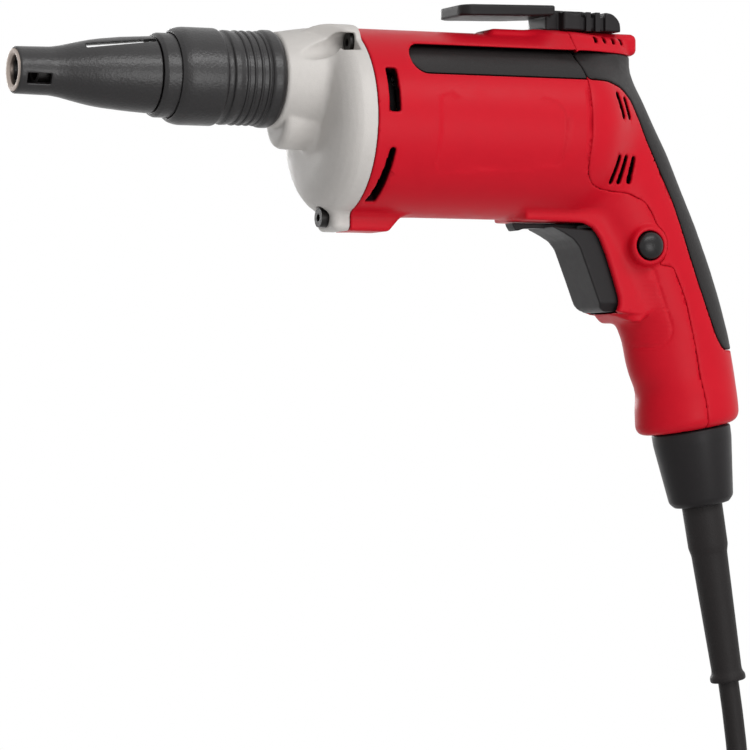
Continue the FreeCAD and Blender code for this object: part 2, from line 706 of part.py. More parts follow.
turned("spindle_bush", [
    (bush_front, d.spindle_r + d.fit_gap), (bush_front, bore_r), (bush_back, bore_r),
    (bush_back, d.spindle_r + d.fit_gap)])
turned("spindle_seal", [
    (snout_front + d.seal_inset, d.spindle_r + d.fit_gap), (snout_front + d.seal_inset, bore_r),
    (bush_front, bore_r), (bush_front, d.spindle_r + d.fit_gap)])
washer_back = flange_front - d.fit_gap
turned("thrust_washer", [
    (washer_back - d.washer_width, d.spindle_r + d.fit_gap), (washer_back - d.washer_width, d.washer_r),
    (washer_back, d.washer_r), (washer_back, d.spindle_r + d.fit_gap)])
spring_r = (d.pilot_r + d.dog_inner_r) / 2
wire_room = d.spring_wire_r * 1.5
helix_spring("clutch_spring", spring_r, d.spring_wire_r, gear_face - flange_back - wire_room * 2, SPRING_TURNS,
             frenet=True, x=flange_back + wire_room)
gear_shape = teeth(GEAR_TEETH, gear_face, d.gear_width, math.pi / GEAR_TEETH)
stub = turning([(gear_rear, 0), (gear_rear, d.stub_r), (gear_rear + d.stub_length, d.stub_r),
                (gear_rear + d.stub_length, 0)])
gear_dogs = dogs(gear_dog_tip, d.dog_height, GEAR_DOG_TURN)
gear_shape = gear_shape.multiFuse([stub] + gear_dogs).removeSplitter()
gear_blank = document.addObject("Part::Feature", "gear_blank")
gear_blank.Shape = gear_shape
put(gear_blank)
gear_bore = rod("gear_bore", gear_face - d.overrun, 0, 0, d.pilot_r + d.fit_gap,
                d.overrun + d.pilot_length - d.dog_height)
node(cut("drive_gear", gear_blank, [gear_bore]), "drive_gear")
gear_bush_r = d.stub_r + d.gear_bush_wall
plate_front = -d.plate_width
turned("gear_bush", [
    (plate_front, d.stub_r + d.fit_gap), (plate_front, gear_bush_r), (-d.run_gap * 2, gear_bush_r),
    (-d.run_gap * 2, d.stub_r + d.fit_gap)])

# Gear case: spindle tube with snout, motor bowl, pinion bulge, foot and screw bosses, then its hollows.
case = body("gear_case")
case_shares = ((0.0, 0.86), (0.07, 0.895), (0.4, 0.965), (0.6, 1.0), (1.0, 1.0))
case_top = [(case_face + d.case_length * a, d.case_top_r * b) for a, b in case_shares]
spin(case, "case_tube", [
    (snout_front, 0), (snout_front, d.snout_r), (shoulder_front, d.snout_r), (shoulder_front, d.shoulder_r),
    (groove_front, d.shoulder_r), (groove_front, d.shoulder_r - d.ring_inset),
    (groove_back, d.shoulder_r - d.ring_inset), (groove_back, d.shoulder_r), (case_face, d.shoulder_r)]
    + case_top + [(0, 0)])
bowl_shares = (
    (0.483, 0.26), (0.476, 0.514), (0.448, 0.657), (0.4, 0.786), (0.341, 0.88), (0.276, 0.949),
    (0.2, 0.989), (0.131, 1.0), (0.0, 1.0),
)
bowl = [(case_face * a, d.motor_r * b) for a, b in bowl_shares]
spin(case, "case_bowl", [(bowl[0][0], 0)] + bowl + [(0, 0)], shift=motor_z)
bulge_shares = ((0.95, 0.0), (0.95, 0.72), (0.91, 0.9), (0.85, 1.0), (0.3, 1.0), (0.3, 0.0))
bulge_r = d.shoulder_r
bulge_z = -(d.case_neck_r - bulge_r + d.tooth_module * 11)
spin(case, "case_bulge", [(case_face * a, bulge_r * b) for a, b in bulge_shares], shift=bulge_z)
foot_z = -d.foot_drop
foot = sketch_on(case, "case_foot_outline", "XZ_Plane")
outline(foot, [(-d.foot_front, foot_z + d.foot_round), (-d.foot_front + d.foot_round, foot_z), (0, foot_z),
               (0, motor_z - d.motor_r * 0.8), (-d.foot_front, motor_z - d.motor_r * 0.8)])
feature(case, "Pad", "case_foot", foot, Length=d.foot_half * 2, SideType="Symmetric")
bosses = sketch_on(case, "case_boss_outline", "YZ_Plane", lift=-d.boss_front)
ring(bosses, d.boss_y, d.boss_z, d.boss_r)
ring(bosses, -d.boss_y, d.boss_z, d.boss_r)
feature(case, "Pad", "case_bosses", bosses, Length=d.boss_front + d.boss_back)
spin(case, "case_bores", [
    (snout_front - d.overrun, 0), (snout_front - d.overrun, bore_r), (bush_back, bore_r),
    (-d.chamber_depth, bore_r), (-d.chamber_depth, d.chamber_r), (d.overrun, d.chamber_r), (d.overrun, 0)],
    cut=True)
bore_main_r = d.motor_r - d.barrel_wall
plate_r = bore_main_r - d.plate_inset
pinion_room = d.stub_r
hollow_front = bowl[0][0] + d.case_wall
spin(case, "case_hollow", [
    (-d.chamber_depth + d.case_wall, 0), (-d.chamber_depth + d.case_wall, pinion_room),
    (hollow_front, pinion_room), (hollow_front, d.plate_hub_r), (plate_front, plate_r - d.case_wall),
    (plate_front, plate_r), (d.overrun, plate_r), (d.overrun, 0)], shift=motor_z, cut=True)
detent_hole = sketch_on(case, "detent_hole_outline", "YZ_Plane", lift=case_face - d.overrun)
ring(detent_hole, 0, -detent_r, detent_ball_r)
feature(case, "Pocket", "detent_hole", detent_hole, Length=detent_depth + d.overrun, Reversed=True)
screw_z = foot_z + d.foot_round + d.screw_r
screw_spots = (
    (d.boss_y, d.boss_z, d.boss_front), (-d.boss_y, d.boss_z, d.boss_front), (0, screw_z, d.foot_front),
)
# Each screw head is reached along a channel from the front of the case.
channel_start = case_face - d.overrun
for tag, radius, inset in (("head", d.screw_head_r, d.screw_head), ("shank", d.screw_r, None)):
    for i, (across, up, front) in enumerate(screw_spots):
        hole = sketch_on(case, "screw_%s_%d_outline" % (tag, i), "YZ_Plane", lift=channel_start)
        ring(hole, across, up, radius)
        deep = -channel_start + (inset - front if inset is not None else d.boss_back + d.overrun)
        feature(case, "Pocket", "screw_%s_%d" % (tag, i), hole, Length=deep, Reversed=True)


def screw(name, x, y, z, length):
    """A screw along +X with its head in front."""
    head = rod(name + "_head", x, y, z, d.screw_head_r, d.screw_head)
    thread = rod(name + "_thread", x, y, z, d.screw_r, d.screw_head + length)
    drive = rod(name + "_drive", x - d.overrun, y, z, d.recess_r, d.recess_depth + d.overrun)
    return cut(name, fused(name + "_blank", [head, thread]), [drive])


case_screws = []
for i, (across, up, front) in enumerate(screw_spots):
    case_screws.append(screw("case_screw_%d" % i, -front, across, up, d.screw_length))
group("gear_case_screws", case_screws)

# Bearing plate and ball bearings.
bearing_x = size(0)
plate = body("bearing_plate", z=motor_z)
spin(plate, "plate_turn", [
    (plate_front, d.stub_r), (plate_front, plate_r), (0, plate_r), (0, d.plate_hub_r),
    (d.plate_hub_length, d.plate_hub_r), (d.plate_hub_length, d.bearing_r), (bearing_x, d.bearing_r),
    (bearing_x, d.stub_r)])
bush_hole = sketch_on(plate, "plate_bush_outline", "YZ_Plane", lift=plate_front - d.overrun)
ring(bush_hole, 0, motor_drop, gear_bush_r)
bush_deep = d.overrun - d.run_gap * 2 + d.plate_width
feature(plate, "Pocket", "plate_bush_hole", bush_hole, Length=bush_deep, Reversed=True)


def ball_bearing(label, x, outer, inner, width, count):
    """Outer ring, inner ring and balls of a deep groove bearing on the motor axis."""
    middle = (outer + inner) / 2
    land = d.ball_r * 0.45
    groove = d.ball_r + d.fit_gap
    centre = x + width / 2
    track = Part.makeTorus(middle.number, groove.number, Vector(centre.number, 0, 0), Vector(1, 0, 0))
    back = x + width
    outside = turning([(x, middle + land), (x, outer), (back, outer), (back, middle + land)])
    inside = turning([(x, inner), (x, middle - land), (back, middle - land), (back, inner)])
    solid_piece(label + "_outer", outside.cut(track), z=motor_z)
    solid_piece(label + "_inner", inside.cut(track), z=motor_z)
    balls = []
    for i in range(count):
        angle = 2 * math.pi * i / count
        spot = Vector(centre.number, middle.number * math.sin(angle), middle.number * math.cos(angle))
        balls.append(Part.makeSphere(d.ball_r.number, spot))
    solid_piece(label + "_balls", Part.makeCompound(balls), z=motor_z)


rear_shaft_r = d.shaft_r - d.gear_bush_wall / 3
ball_bearing("front_bearing", bearing_x, d.bearing_r, d.shaft_r, d.bearing_width, FRONT_BALLS)
ball_bearing("rear_bearing", d.rear_bearing_x, d.rear_bearing_r, rear_shaft_r, d.rear_bearing_width, REAR_BALLS)

# Armature: shaft with pinion, core, windings, commutator and fan.
pinion_root = d.tooth_module * (PINION_TEETH / 2 - 1)
shaft_shape = turning([
    (gear_rear, 0), (gear_rear, pinion_root), (bearing_x, pinion_root), (bearing_x, d.shaft_r),
    (d.rear_bearing_x, d.shaft_r), (d.rear_bearing_x, rear_shaft_r), (d.shaft_length, rear_shaft_r),
    (d.shaft_length, 0)])
pinion = teeth(PINION_TEETH, gear_face - d.run_gap, d.gear_width + d.run_gap * 2, 0)
solid_piece("armature_shaft", shaft_shape.fuse(pinion).removeSplitter(), z=motor_z)
core_back = d.core_x + d.core_length
core = body("armature_core", z=motor_z)
core_disc = sketch_on(core, "core_outline", "YZ_Plane", lift=d.core_x)
ring(core_disc, 0, 0, d.core_r)
ring(core_disc, 0, 0, d.shaft_r)
feature(core, "Pad", "core_stack", core_disc, Length=d.core_length)
core_slot = sketch_on(core, "core_slot_outline", "YZ_Plane", lift=d.core_x)
slot_half = d.winding_slot / 2
slot_top = d.core_r - d.air_gap
slot_foot = slot_top - d.winding_depth
outline(core_slot, [(-slot_half, slot_foot), (slot_half, slot_foot), (slot_half, d.core_r + d.overrun),
                    (-slot_half, d.core_r + d.overrun)])
slot_cut = feature(core, "Pocket", "core_slot", core_slot, Length=d.core_length, Reversed=True)
around(core, slot_cut, CORE_SLOTS, "core_slots")
windings = body("armature_windings", z=motor_z)
head_front = d.core_x - d.winding_length
head_back = core_back + d.winding_length
spin(windings, "front_head", [(head_front, d.shaft_r), (head_front, d.winding_r * 0.85), (d.core_x, d.winding_r),
                              (d.core_x, d.shaft_r)])
bar = sketch_on(windings, "bar_outline", "YZ_Plane", lift=d.core_x)
outline(bar, [(-slot_half, slot_foot), (slot_half, slot_foot), (slot_half, slot_top), (-slot_half, slot_top)])
bar_pad = feature(windings, "Pad", "slot_bar", bar, Length=d.core_length)
around(windings, bar_pad, CORE_SLOTS, "slot_bars")
spin(windings, "rear_head", [(core_back, d.shaft_r), (core_back, d.winding_r), (head_back, d.winding_r * 0.85),
                             (head_back, d.shaft_r)])
comm_back = head_back + d.comm_length
commutator = turned("commutator", [(head_back, d.shaft_r), (head_back, d.comm_r), (comm_back, d.comm_r),
                                   (comm_back, d.shaft_r)], z=motor_z)
slit = sketch_on(commutator, "slit_outline", "YZ_Plane", lift=head_back)
outline(slit, [(-d.comm_slot / 2, d.comm_r - d.comm_slot), (d.comm_slot / 2, d.comm_r - d.comm_slot),
               (d.comm_slot / 2, d.comm_r + d.overrun), (-d.comm_slot / 2, d.comm_r + d.overrun)])
slit_cut = feature(commutator, "Pocket", "slit", slit, Length=d.comm_length, Reversed=True)
around(commutator, slit_cut, COMMUTATOR_BARS, "slits")
fan_back = d.fan_x + d.fan_width
fan = turned("fan", [
    (d.fan_x, d.shaft_r), (d.fan_x, d.fan_r), (d.fan_x + d.fan_plate, d.fan_r),
    (d.fan_x + d.fan_plate, d.shaft_r * 2),
    (fan_back, d.shaft_r * 2), (fan_back, d.shaft_r)], z=motor_z)
blade = sketch_on(fan, "blade_outline", "YZ_Plane", lift=d.fan_x + d.fan_plate)
outline(blade, [(-d.fan_plate / 2, d.core_r), (d.fan_plate / 2, d.core_r), (d.fan_plate / 2, d.fan_r - d.run_gap),
                (-d.fan_plate / 2, d.fan_r - d.run_gap)])
blade_pad = feature(fan, "Pad", "fan_blade", blade, Length=d.fan_width - d.fan_plate)
around(fan, blade_pad, FAN_BLADES, "fan_blades")

# Stator, field coils and brush gear.
stator = body("stator_core", z=motor_z)
yoke = sketch_on(stator, "yoke_outline", "YZ_Plane", lift=d.core_x)
ring(yoke, 0, 0, bore_main_r)
ring(yoke, 0, 0, bore_main_r - d.stator_ring)
feature(stator, "Pad", "yoke", yoke, Length=d.core_length)
yoke_r = bore_main_r - d.stator_ring / 2
poles = sketch_on(stator, "pole_outline", "YZ_Plane", lift=d.core_x)
outline(poles, [(-d.pole_half, -yoke_r), (d.pole_half, -yoke_r), (d.pole_half, yoke_r), (-d.pole_half, yoke_r)])
feature(stator, "Pad", "poles", poles, Length=d.core_length)
stator_bore = sketch_on(stator, "stator_bore_outline", "YZ_Plane", lift=d.core_x)
ring(stator_bore, 0, 0, d.core_r + d.air_gap)
feature(stator, "Pocket", "stator_bore", stator_bore, Length=d.core_length, Reversed=True)
for sign in (1, -1):
    flat = sketch_on(stator, "flat_outline", "YZ_Plane", lift=d.core_x)
    outline(flat, [(d.stator_flat * sign, -d.motor_r), (d.motor_r * sign, -d.motor_r),
                   (d.motor_r * sign, d.motor_r), (d.stator_flat * sign, d.motor_r)])
    feature(stator, "Pocket", "flat", flat, Length=d.core_length, Reversed=True)
coil_low = d.core_r + d.air_gap + d.air_gap
coil_out = d.pole_half + d.coil_wall
coil_high = leg(bore_main_r - d.stator_ring - d.run_gap, coil_out)
field = []
for sign, tag in ((1, "upper"), (-1, "lower")):
    low_z = motor_z + (coil_low if sign > 0 else -coil_high)
    high_z = motor_z + (coil_high if sign > 0 else -coil_low)
    whole = block(tag + "_coil_block", (d.core_x - d.coil_head, -coil_out, low_z),
                  (core_back + d.coil_head, coil_out, high_z))
    inside = block(tag + "_coil_hole", (d.core_x, -d.pole_half, low_z - d.overrun),
                   (core_back, d.pole_half, high_z + d.overrun))
    field.append(cut(tag + "_coil", whole, [inside]))
group("field_coils", field)
bracket = body("brush_bracket", z=motor_z)
bracket_back = d.rear_bearing_x + d.rear_bearing_width
hub_r = d.rear_bearing_r + d.bracket_web
spin(bracket, "bracket_turn", [
    (d.bracket_x, d.bracket_inner_r), (d.bracket_x, bore_main_r), (bracket_back, bore_main_r),
    (bracket_back, d.rear_bearing_r), (d.rear_bearing_x, d.rear_bearing_r),
    (d.rear_bearing_x, hub_r), (bracket_back - d.bracket_web, hub_r),
    (bracket_back - d.bracket_web, d.bracket_inner_r)])
brush_x = head_back + d.comm_length / 2
contact_r = d.comm_r + d.fit_gap
box_long = d.brush_long / 2 + d.holder_wall
box_tall = d.brush_tall / 2 + d.holder_wall
box_start = d.comm_r + d.holder_wall
socket = sketch_on(bracket, "brush_socket_outline", "XZ_Plane")
outline(socket, [(brush_x - box_long, -box_tall), (brush_x + box_long, -box_tall), (brush_x + box_long, box_tall),
                 (brush_x - box_long, box_tall)])
feature(bracket, "Pocket", "brush_socket", socket, Length=(box_start + d.holder_reach) * 2, SideType="Symmetric")
holders = []
brushes = []
for sign, tag in ((1, "far"), (-1, "near")):
    ends = (box_start, box_start + d.holder_reach)
    low_y = ends[0] if sign > 0 else -ends[1]
    high_y = ends[1] if sign > 0 else -ends[0]
    box = block(tag + "_holder_block", (brush_x - box_long, low_y, motor_z - box_tall),
                (brush_x + box_long, high_y, motor_z + box_tall))
    inner_end = ends[1] - d.holder_wall
    low_in = ends[0] - d.overrun if sign > 0 else -inner_end
    high_in = inner_end if sign > 0 else -ends[0] + d.overrun
    room = block(tag + "_holder_room", (brush_x - d.brush_long / 2, low_in, motor_z - d.brush_tall / 2),
                 (brush_x + d.brush_long / 2, high_in, motor_z + d.brush_tall / 2))
    holders.append(cut(tag + "_holder", box, [room]))
    tip = d.comm_r - d.holder_wall
    low_b = tip if sign > 0 else -(contact_r + d.brush_reach)
    high_b = contact_r + d.brush_reach if sign > 0 else -tip
    carbon = block(tag + "_brush_block", (brush_x - d.brush_long / 2, low_b, motor_z - d.brush_tall / 2),
                   (brush_x + d.brush_long / 2, high_b, motor_z + d.brush_tall / 2))
    face = rod(tag + "_brush_face", head_back - d.overrun, 0, motor_z, contact_r, d.comm_length + d.overrun * 2)
    brushes.append(cut(tag + "_brush", carbon, [face]))
group("brush_holders", holders)
group("carbon_brushes", brushes)
spring_start = contact_r + d.brush_reach + d.brush_wire_r
spring_room = box_start + d.holder_reach - d.holder_wall - d.brush_wire_r - spring_start
spring_shapes = []
for sign in (1, -1):
    radius = d.brush_long.number / 2 - d.brush_wire_r.number * 2
    rise = spring_room.number / BRUSH_SPRING_TURNS
    path = Part.makeHelix(rise, spring_room.number, radius)
    lean = Vector(0, radius, rise / 2 / math.pi)
    wire = Part.Wire(Part.makeCircle(d.brush_wire_r.number, Vector(radius, 0, 0), lean))
    curl = Part.Wire(path).makePipeShell([wire], True, False)
    curl.rotate(Vector(), Vector(1, 0, 0), -90 * sign)
    curl.translate(Vector(brush_x.number, spring_start.number * sign, 0))
    spring_shapes.append(curl)
solid_piece("brush_springs", Part.makeCompound(spring_shapes), z=motor_z)

# Housing form: barrel, rounded end and handle, drawn in by an inset for the skin and for the hollow.
cap_shares = (
    (0.0, 1.0), (0.2, 0.98), (0.4, 0.917), (0.58, 0.815), (0.72, 0.694), (0.84, 0.543), (0.93, 0.368),
    (1.0, 0.12),
)
# Handle sections from the top down: middle along X, height over the base, half depth and half width, as shares
# of the base's place, the handle's height and its half depth and width.
handle_shares = (
    (0.658, 1.0, 0.865, 0.857), (0.665, 0.9, 0.886, 1.056), (0.694, 0.8, 1.011, 1.15),
    (0.737, 0.7, 1.076, 1.16), (0.826, 0.52, 1.052, 1.099), (0.872, 0.42, 1.026, 1.029),
    (0.908, 0.33, 0.998, 0.989), (0.949, 0.24, 0.911, 0.96), (0.97, 0.155, 0.889, 0.94),
    (0.988, 0.07, 0.858, 0.96), (0.995, -0.06, 0.871, 1.0),
)


def handle_form(name, inset):
    """Handle as a loft of oval sections, drawn in by the inset."""
    sections = []
    tall = d.base_drop + d.handle_top
    for i, (along, up, deep, wide) in enumerate(handle_shares):
        oval = primitive("Ellipse", "%s_section_%d" % (name, i), MajorRadius=d.handle_long * deep - inset,
                         MinorRadius=d.handle_wide * wide - inset)
        height = tall * up - d.base_drop
        if i == 0:
            height = height - inset
        sections.append(put(oval, d.base_x * along, 0, height))
    loft = document.addObject("Part::Loft", name)
    loft.Sections = sections
    loft.Solid = True
    loft.Ruled = False
    return loft


def barrel_form(name, inset):
    """Motor barrel with its rounded end, drawn in by the inset."""
    owner = put(document.addObject("PartDesign::Body", name), z=motor_z)
    radius = d.motor_r - inset
    profile = [(0, 0), (0, radius)]
    profile += [(d.barrel_length + (d.cap_length - inset) * a, radius * b) for a, b in cap_shares]
    profile += [(d.barrel_length + d.cap_length - inset, 0)]
    spin(owner, name + "_turn", profile)
    return owner


def base_block(name, rise):
    """What lies below the tilted handle base, raised by a rise along the base's axis."""
    span = d.motor_r * 2
    item = primitive("Box", name, Length=span * 2, Width=span * 2, Height=span)
    tilt = math.radians(d.base_tilt.number)
    corner = (d.base_x + span * math.sin(tilt) - size(rise) * math.sin(tilt) - span * math.cos(tilt),
              -span,
              -d.base_drop - span * math.cos(tilt) + size(rise) * math.cos(tilt) - span * math.sin(tilt))
    return put(item, corner[0], corner[1], corner[2], (0, 1, 0), -d.base_tilt)


outer_barrel = barrel_form("outer_barrel", size(0))
outer_handle = handle_form("outer_handle", size(0))
ramp_share = 1.7
ramp_back = d.foot_length + d.foot_round * ramp_share
foot_block = prism("foot_block", [
    (0, foot_z), (d.foot_length, foot_z), (ramp_back, motor_z - d.motor_r), (ramp_back, motor_z), (0, motor_z)],
    d.foot_half)
ridge = prism("ridge", [
    (d.ridge_front, d.band_top), (d.ridge_front, d.ridge_rise), (d.ridge_back, d.ridge_rise),
    (d.ridge_back, d.ridge_rise - d.ridge_lip), (d.ridge_back - d.ridge_lip * 2, d.band_top)], d.ridge_half)
boss = side_rod("button_boss", d.button_x, -d.button_side, -d.button_drop, d.button_collar, d.button_side / 2)
# Cheeks beside the trigger, as shares of the trigger's depth and height from its front top corner.
rim_shares = (
    (0.511, 0.432), (0.511, 0.013), (0.578, -0.048), (0.665, -0.194), (0.788, -0.545), (0.88, -0.842),
    (0.908, -1.084), (1.446, -1.084), (1.262, -0.213), (1.077, 0.432),
)
trigger_top = -d.trigger_drop
rim = prism("trigger_rim", [
    (d.trigger_front + d.trigger_deep * a, trigger_top + d.trigger_tall * b) for a, b in rim_shares],
    d.trigger_half + d.run_gap + d.rim_wall)
plain_form = fused("plain_form", [outer_barrel, outer_handle])
base_cut = base_block("base_cut", 0)
full_form = fused("full_form", [outer_barrel, outer_handle, foot_block, ridge, boss, rim])
whole_form = cut("whole_form", full_form, [base_cut])
skin_barrel = barrel_form("skin_barrel", d.grip_skin)
skin_handle = handle_form("skin_handle", d.grip_skin)
skin_form = fused("skin_form", [skin_barrel, skin_handle])
hollow_loft = handle_form("hollow_loft", d.handle_wall)
hollow_handle = cut("hollow_handle", hollow_loft, [base_block("hollow_base", d.handle_wall)])
hollow_form = fused("hollow_form", [barrel_form("hollow_barrel", d.barrel_wall), hollow_handle])
shell = cut("shell", whole_form, [hollow_form])

# Soft grips are the outer skin inside their side outlines.
skin_layer = cut("skin_layer", plain_form, [skin_form])
wide = d.motor_r + d.overrun * 7
band_points = ((d.band_front, d.band_low), (d.barrel_length, d.band_low), (d.barrel_length, d.band_top),
               (d.band_front, d.band_top))
front_band = prism("front_band", band_points, wide)
front_raw = common("front_grip_pads", [skin_layer, front_band])
node(front_raw, "front_grip_pads")
spine_shares = (
    (0.72, -0.005), (0.775, -0.07), (0.815, -0.165), (0.89, -0.325), (1.025, -0.73), (1.05, -0.765),
    (1.25, -0.765),
)
rear_points = [(d.barrel_length, d.band_top), (d.barrel_length, d.band_low)]
rear_points += [(d.base_x * a, d.base_drop * b) for a, b in spine_shares]
rear_points += [(d.base_x * spine_shares[-1][0], d.band_top)]
rear_region = prism("rear_region", rear_points, wide)
node(common("rear_grip", [skin_layer, rear_region]), "rear_grip")

# The seam between motor housing and handle cover, as a side outline of everything behind it.
seam_shares = (
    (0.765, -0.317), (0.8, -0.335), (0.832, -0.385), (0.868, -0.45), (0.88, -0.53), (0.995, -0.97),
    (1.02, -1.15), (1.3, -1.15),
)
seam_top = d.ridge_rise + d.overrun
seam_turn_share = 0.315
seam_points = [(d.barrel_length, seam_top), (d.barrel_length, -d.base_drop * seam_turn_share)]
seam_points += [(d.base_x * a, d.base_drop * b) for a, b in seam_shares]
seam_points += [(d.base_x * seam_shares[-1][0], seam_top)]
cover_region = prism("cover_region", seam_points, wide)

# Openings in the housing.
def sector(name, x, length, first, sweep):
    """A sector of the barrel along +X, from a first angle over the horizontal."""
    wedge = primitive("Cylinder", name, Radius=d.motor_r + d.overrun, Height=length, Angle=sweep)
    put(wedge, x, 0, motor_z)
    quarter = Rotation(Vector(0, 1, 0), Vector(0, 0, 1), Vector(1, 0, 0), "ZXY")
    wedge.Placement = Placement(wedge.Placement.Base, quarter.multiply(Rotation(Vector(0, 0, 1), first)))
    return wedge


vents = []
for name, start, sweep in VENT_ANGLES:
    for sign in (1, -1):
        first = start if sign > 0 else 180 - start - sweep
        vents.append(sector("vent_%s_%d" % (name, sign), d.vent_x, d.vent_width, first, sweep))
labels = []
for sign in (1, -1):
    first = LABEL_START if sign > 0 else 180 - LABEL_START - LABEL_SWEEP
    labels.append(sector("label_%d" % sign, d.label_front, d.label_length, first, LABEL_SWEEP))
label_core = rod("label_core", 0, 0, motor_z, d.motor_r - d.label_depth, d.barrel_length)
label_cut = cut("label_cut", fused("label_wedges", labels), [label_core])
slit_shares = ((0.7, -0.06), (0.727, -0.068), (0.697, -0.245), (0.72, -0.245), (0.745, -0.245))
SLIT_LEANS = (-15, -12, 17, 18, 18)
slits = []
for i, (along, up) in enumerate(slit_shares):
    bar = primitive("Box", "rear_slit_%d" % i, Length=d.slit_width, Width=wide * 2, Height=d.slit_length)
    slits.append(put(bar, d.base_x * along, -wide, d.base_drop * up - d.slit_length / 2, (0, 1, 0), SLIT_LEANS[i]))

# Trigger with its stem, switch, reversing lever and lock button.
trigger_low = trigger_top - d.trigger_tall
trigger_shares = (
    (0.0, 0.0), (0.163, -0.058), (0.28, -0.129), (0.357, -0.226), (0.409, -0.365), (0.502, -0.61),
    (0.591, -0.855), (0.643, -0.952), (0.72, -1.0), (0.908, -1.0), (1.0, -0.939), (1.0, -0.794),
    (0.923, -0.6), (0.8, -0.406), (0.769, 0.0),
)
trigger_back = d.trigger_front + d.trigger_deep
trigger = body("trigger")
side = sketch_on(trigger, "trigger_outline", "XZ_Plane")
outline(side, [(d.trigger_front + d.trigger_deep * a, trigger_top + d.trigger_tall * b) for a, b in trigger_shares])
feature(trigger, "Pad", "trigger_pad", side, Length=d.trigger_half * 2, SideType="Symmetric")
stem_z = trigger_top - d.trigger_tall / 2
stem_root_share = 0.7
stem_x = d.trigger_front + d.trigger_deep * stem_root_share
stem = sketch_on(trigger, "stem_outline", "YZ_Plane", lift=stem_x)
ring(stem, 0, stem_z, d.stem_r)
stem_end = d.switch_x + d.stem_length
feature(trigger, "Pad", "trigger_stem", stem, Length=stem_end - stem_x)
switch_top = -d.switch_drop
switch_block = block("switch_block", (d.switch_x, -d.switch_half, switch_top - d.switch_tall),
                     (d.switch_x + d.switch_long, d.switch_half, switch_top))
stem_hole = rod("stem_hole", d.switch_x - d.overrun, 0, stem_z, d.stem_r + d.fit_gap,
                d.overrun + d.stem_length + d.trigger_travel + d.run_gap)
node(cut("switch_body", switch_block, [stem_hole]), "switch_body")
room_front = d.trigger_front - d.run_gap
room_back = trigger_back + d.trigger_travel + d.run_gap
room_top = trigger_top + d.run_gap
room_low = trigger_low - d.run_gap
trigger_room = prism("trigger_room", [
    (room_front, room_top), (room_back, room_top), (room_back, room_low), (room_front, room_low)],
    d.trigger_half + d.run_gap)
lever_top = trigger_top + d.run_gap + d.lever_thick
lever = body("reversing_lever", x=d.lever_x)
lever_side = sketch_on(lever, "lever_outline", "XZ_Plane")
lever_low = lever_top - d.lever_thick
tab_root_share = 0.62
outline(lever_side, [
    (-d.lever_reach, lever_top), (-d.lever_reach, lever_top - d.lever_tab),
    (-d.lever_reach + d.lever_half, lever_low - d.run_gap * 2), (-d.lever_reach * tab_root_share, lever_low),
    (d.lever_half, lever_low), (d.lever_half, lever_top)])
feature(lever, "Pad", "lever_pad", lever_side, Length=d.lever_half * 2, SideType="Symmetric")
pin = sketch_on(lever, "lever_pin_outline", "XY_Plane", lift=lever_top)
ring(pin, 0, 0, d.lever_pin_r)
pin_tall = motor_z - bore_main_r - lever_top
feature(lever, "Pad", "lever_pin", pin, Length=pin_tall)
sweep_share = 1.5
lever_sweep = d.lever_half * sweep_share
lever_room = block("lever_room", (room_front, -lever_sweep, lever_low - d.run_gap),
                   (d.lever_x + lever_sweep, lever_sweep, lever_top + d.run_gap))
lever_hole = primitive("Cylinder", "lever_hole", Radius=d.lever_pin_r + d.fit_gap, Height=pin_tall + d.overrun * 2)
put(lever_hole, d.lever_x, 0, lever_top - d.overrun)
button_z = -d.button_drop
button_out = d.button_side + d.button_dome
flange_out = d.button_side - d.handle_wall
button_in = d.switch_half + d.button_travel + d.run_gap
dome_shares = ((0.0, 0.0), (0.0, 0.45), (0.35, 0.8), (1.0, 1.0))
turned("lock_button", [(d.button_dome * a, d.button_r * b) for a, b in dome_shares] + [
    (button_out - flange_out, d.button_r), (button_out - flange_out, d.button_r + d.button_flange),
    (button_out - flange_out + d.button_flange, d.button_r + d.button_flange),
    (button_out - flange_out + d.button_flange, d.button_stem), (button_out - button_in, d.button_stem),
    (button_out - button_in, 0)], x=d.button_x, y=-button_out, z=button_z, axis=(0, 0, 1), angle=90)
spring_in = flange_out - d.button_flange - wire_room
helix_spring("lock_button_spring", d.button_stem + wire_room * 2, d.spring_wire_r,
             spring_in - d.switch_half - wire_room, SPRING_TURNS,
             x=d.button_x, y=-spring_in, z=button_z, axis=(0, 0, 1), angle=90)
button_hole = side_rod("button_hole", d.button_x, -d.button_side - d.overrun, button_z, d.button_r + d.fit_gap,
                       d.handle_wall + d.overrun)
button_room = side_rod("button_room", d.button_x, -flange_out - d.fit_gap, button_z,
                       d.button_r + d.button_flange + d.run_gap, flange_out - d.switch_half)

# Belt clip and its screw.
clip_low = d.ridge_rise
arm_low = d.clip_top - d.clip_thick
base_top = d.clip_top - d.clip_step
clip = body("belt_clip")
clip_side = sketch_on(clip, "clip_outline", "XZ_Plane")
outline(clip_side, [
    (d.clip_front, arm_low + d.clip_thick / 3), (d.clip_front, d.clip_top - d.clip_thick / 3),
    (d.clip_front + d.clip_thick / 3, d.clip_top), (d.clip_post + d.clip_post_long, d.clip_top),
    (d.clip_post + d.clip_post_long, base_top), (d.clip_back - d.clip_round, base_top),
    (d.clip_back, base_top - d.clip_round), (d.clip_back, clip_low), (d.clip_post, clip_low),
    (d.clip_post, arm_low), (d.clip_front + d.clip_thick / 3, arm_low)])
feature(clip, "Pad", "clip_pad", clip_side, Length=d.clip_half * 2, SideType="Symmetric")
clip_screw_x = (d.clip_post + d.clip_post_long + d.clip_back) / 2
for tag, radius, deep in (("head", d.screw_head_r, d.screw_head), ("shank", d.screw_r, base_top - clip_low)):
    hole = sketch_on(clip, "clip_%s_outline" % tag, "XY_Plane", lift=base_top)
    ring(hole, clip_screw_x, 0, radius)
    feature(clip, "Pocket", "clip_" + tag, hole, Length=deep)
clip_thread_share = 0.4
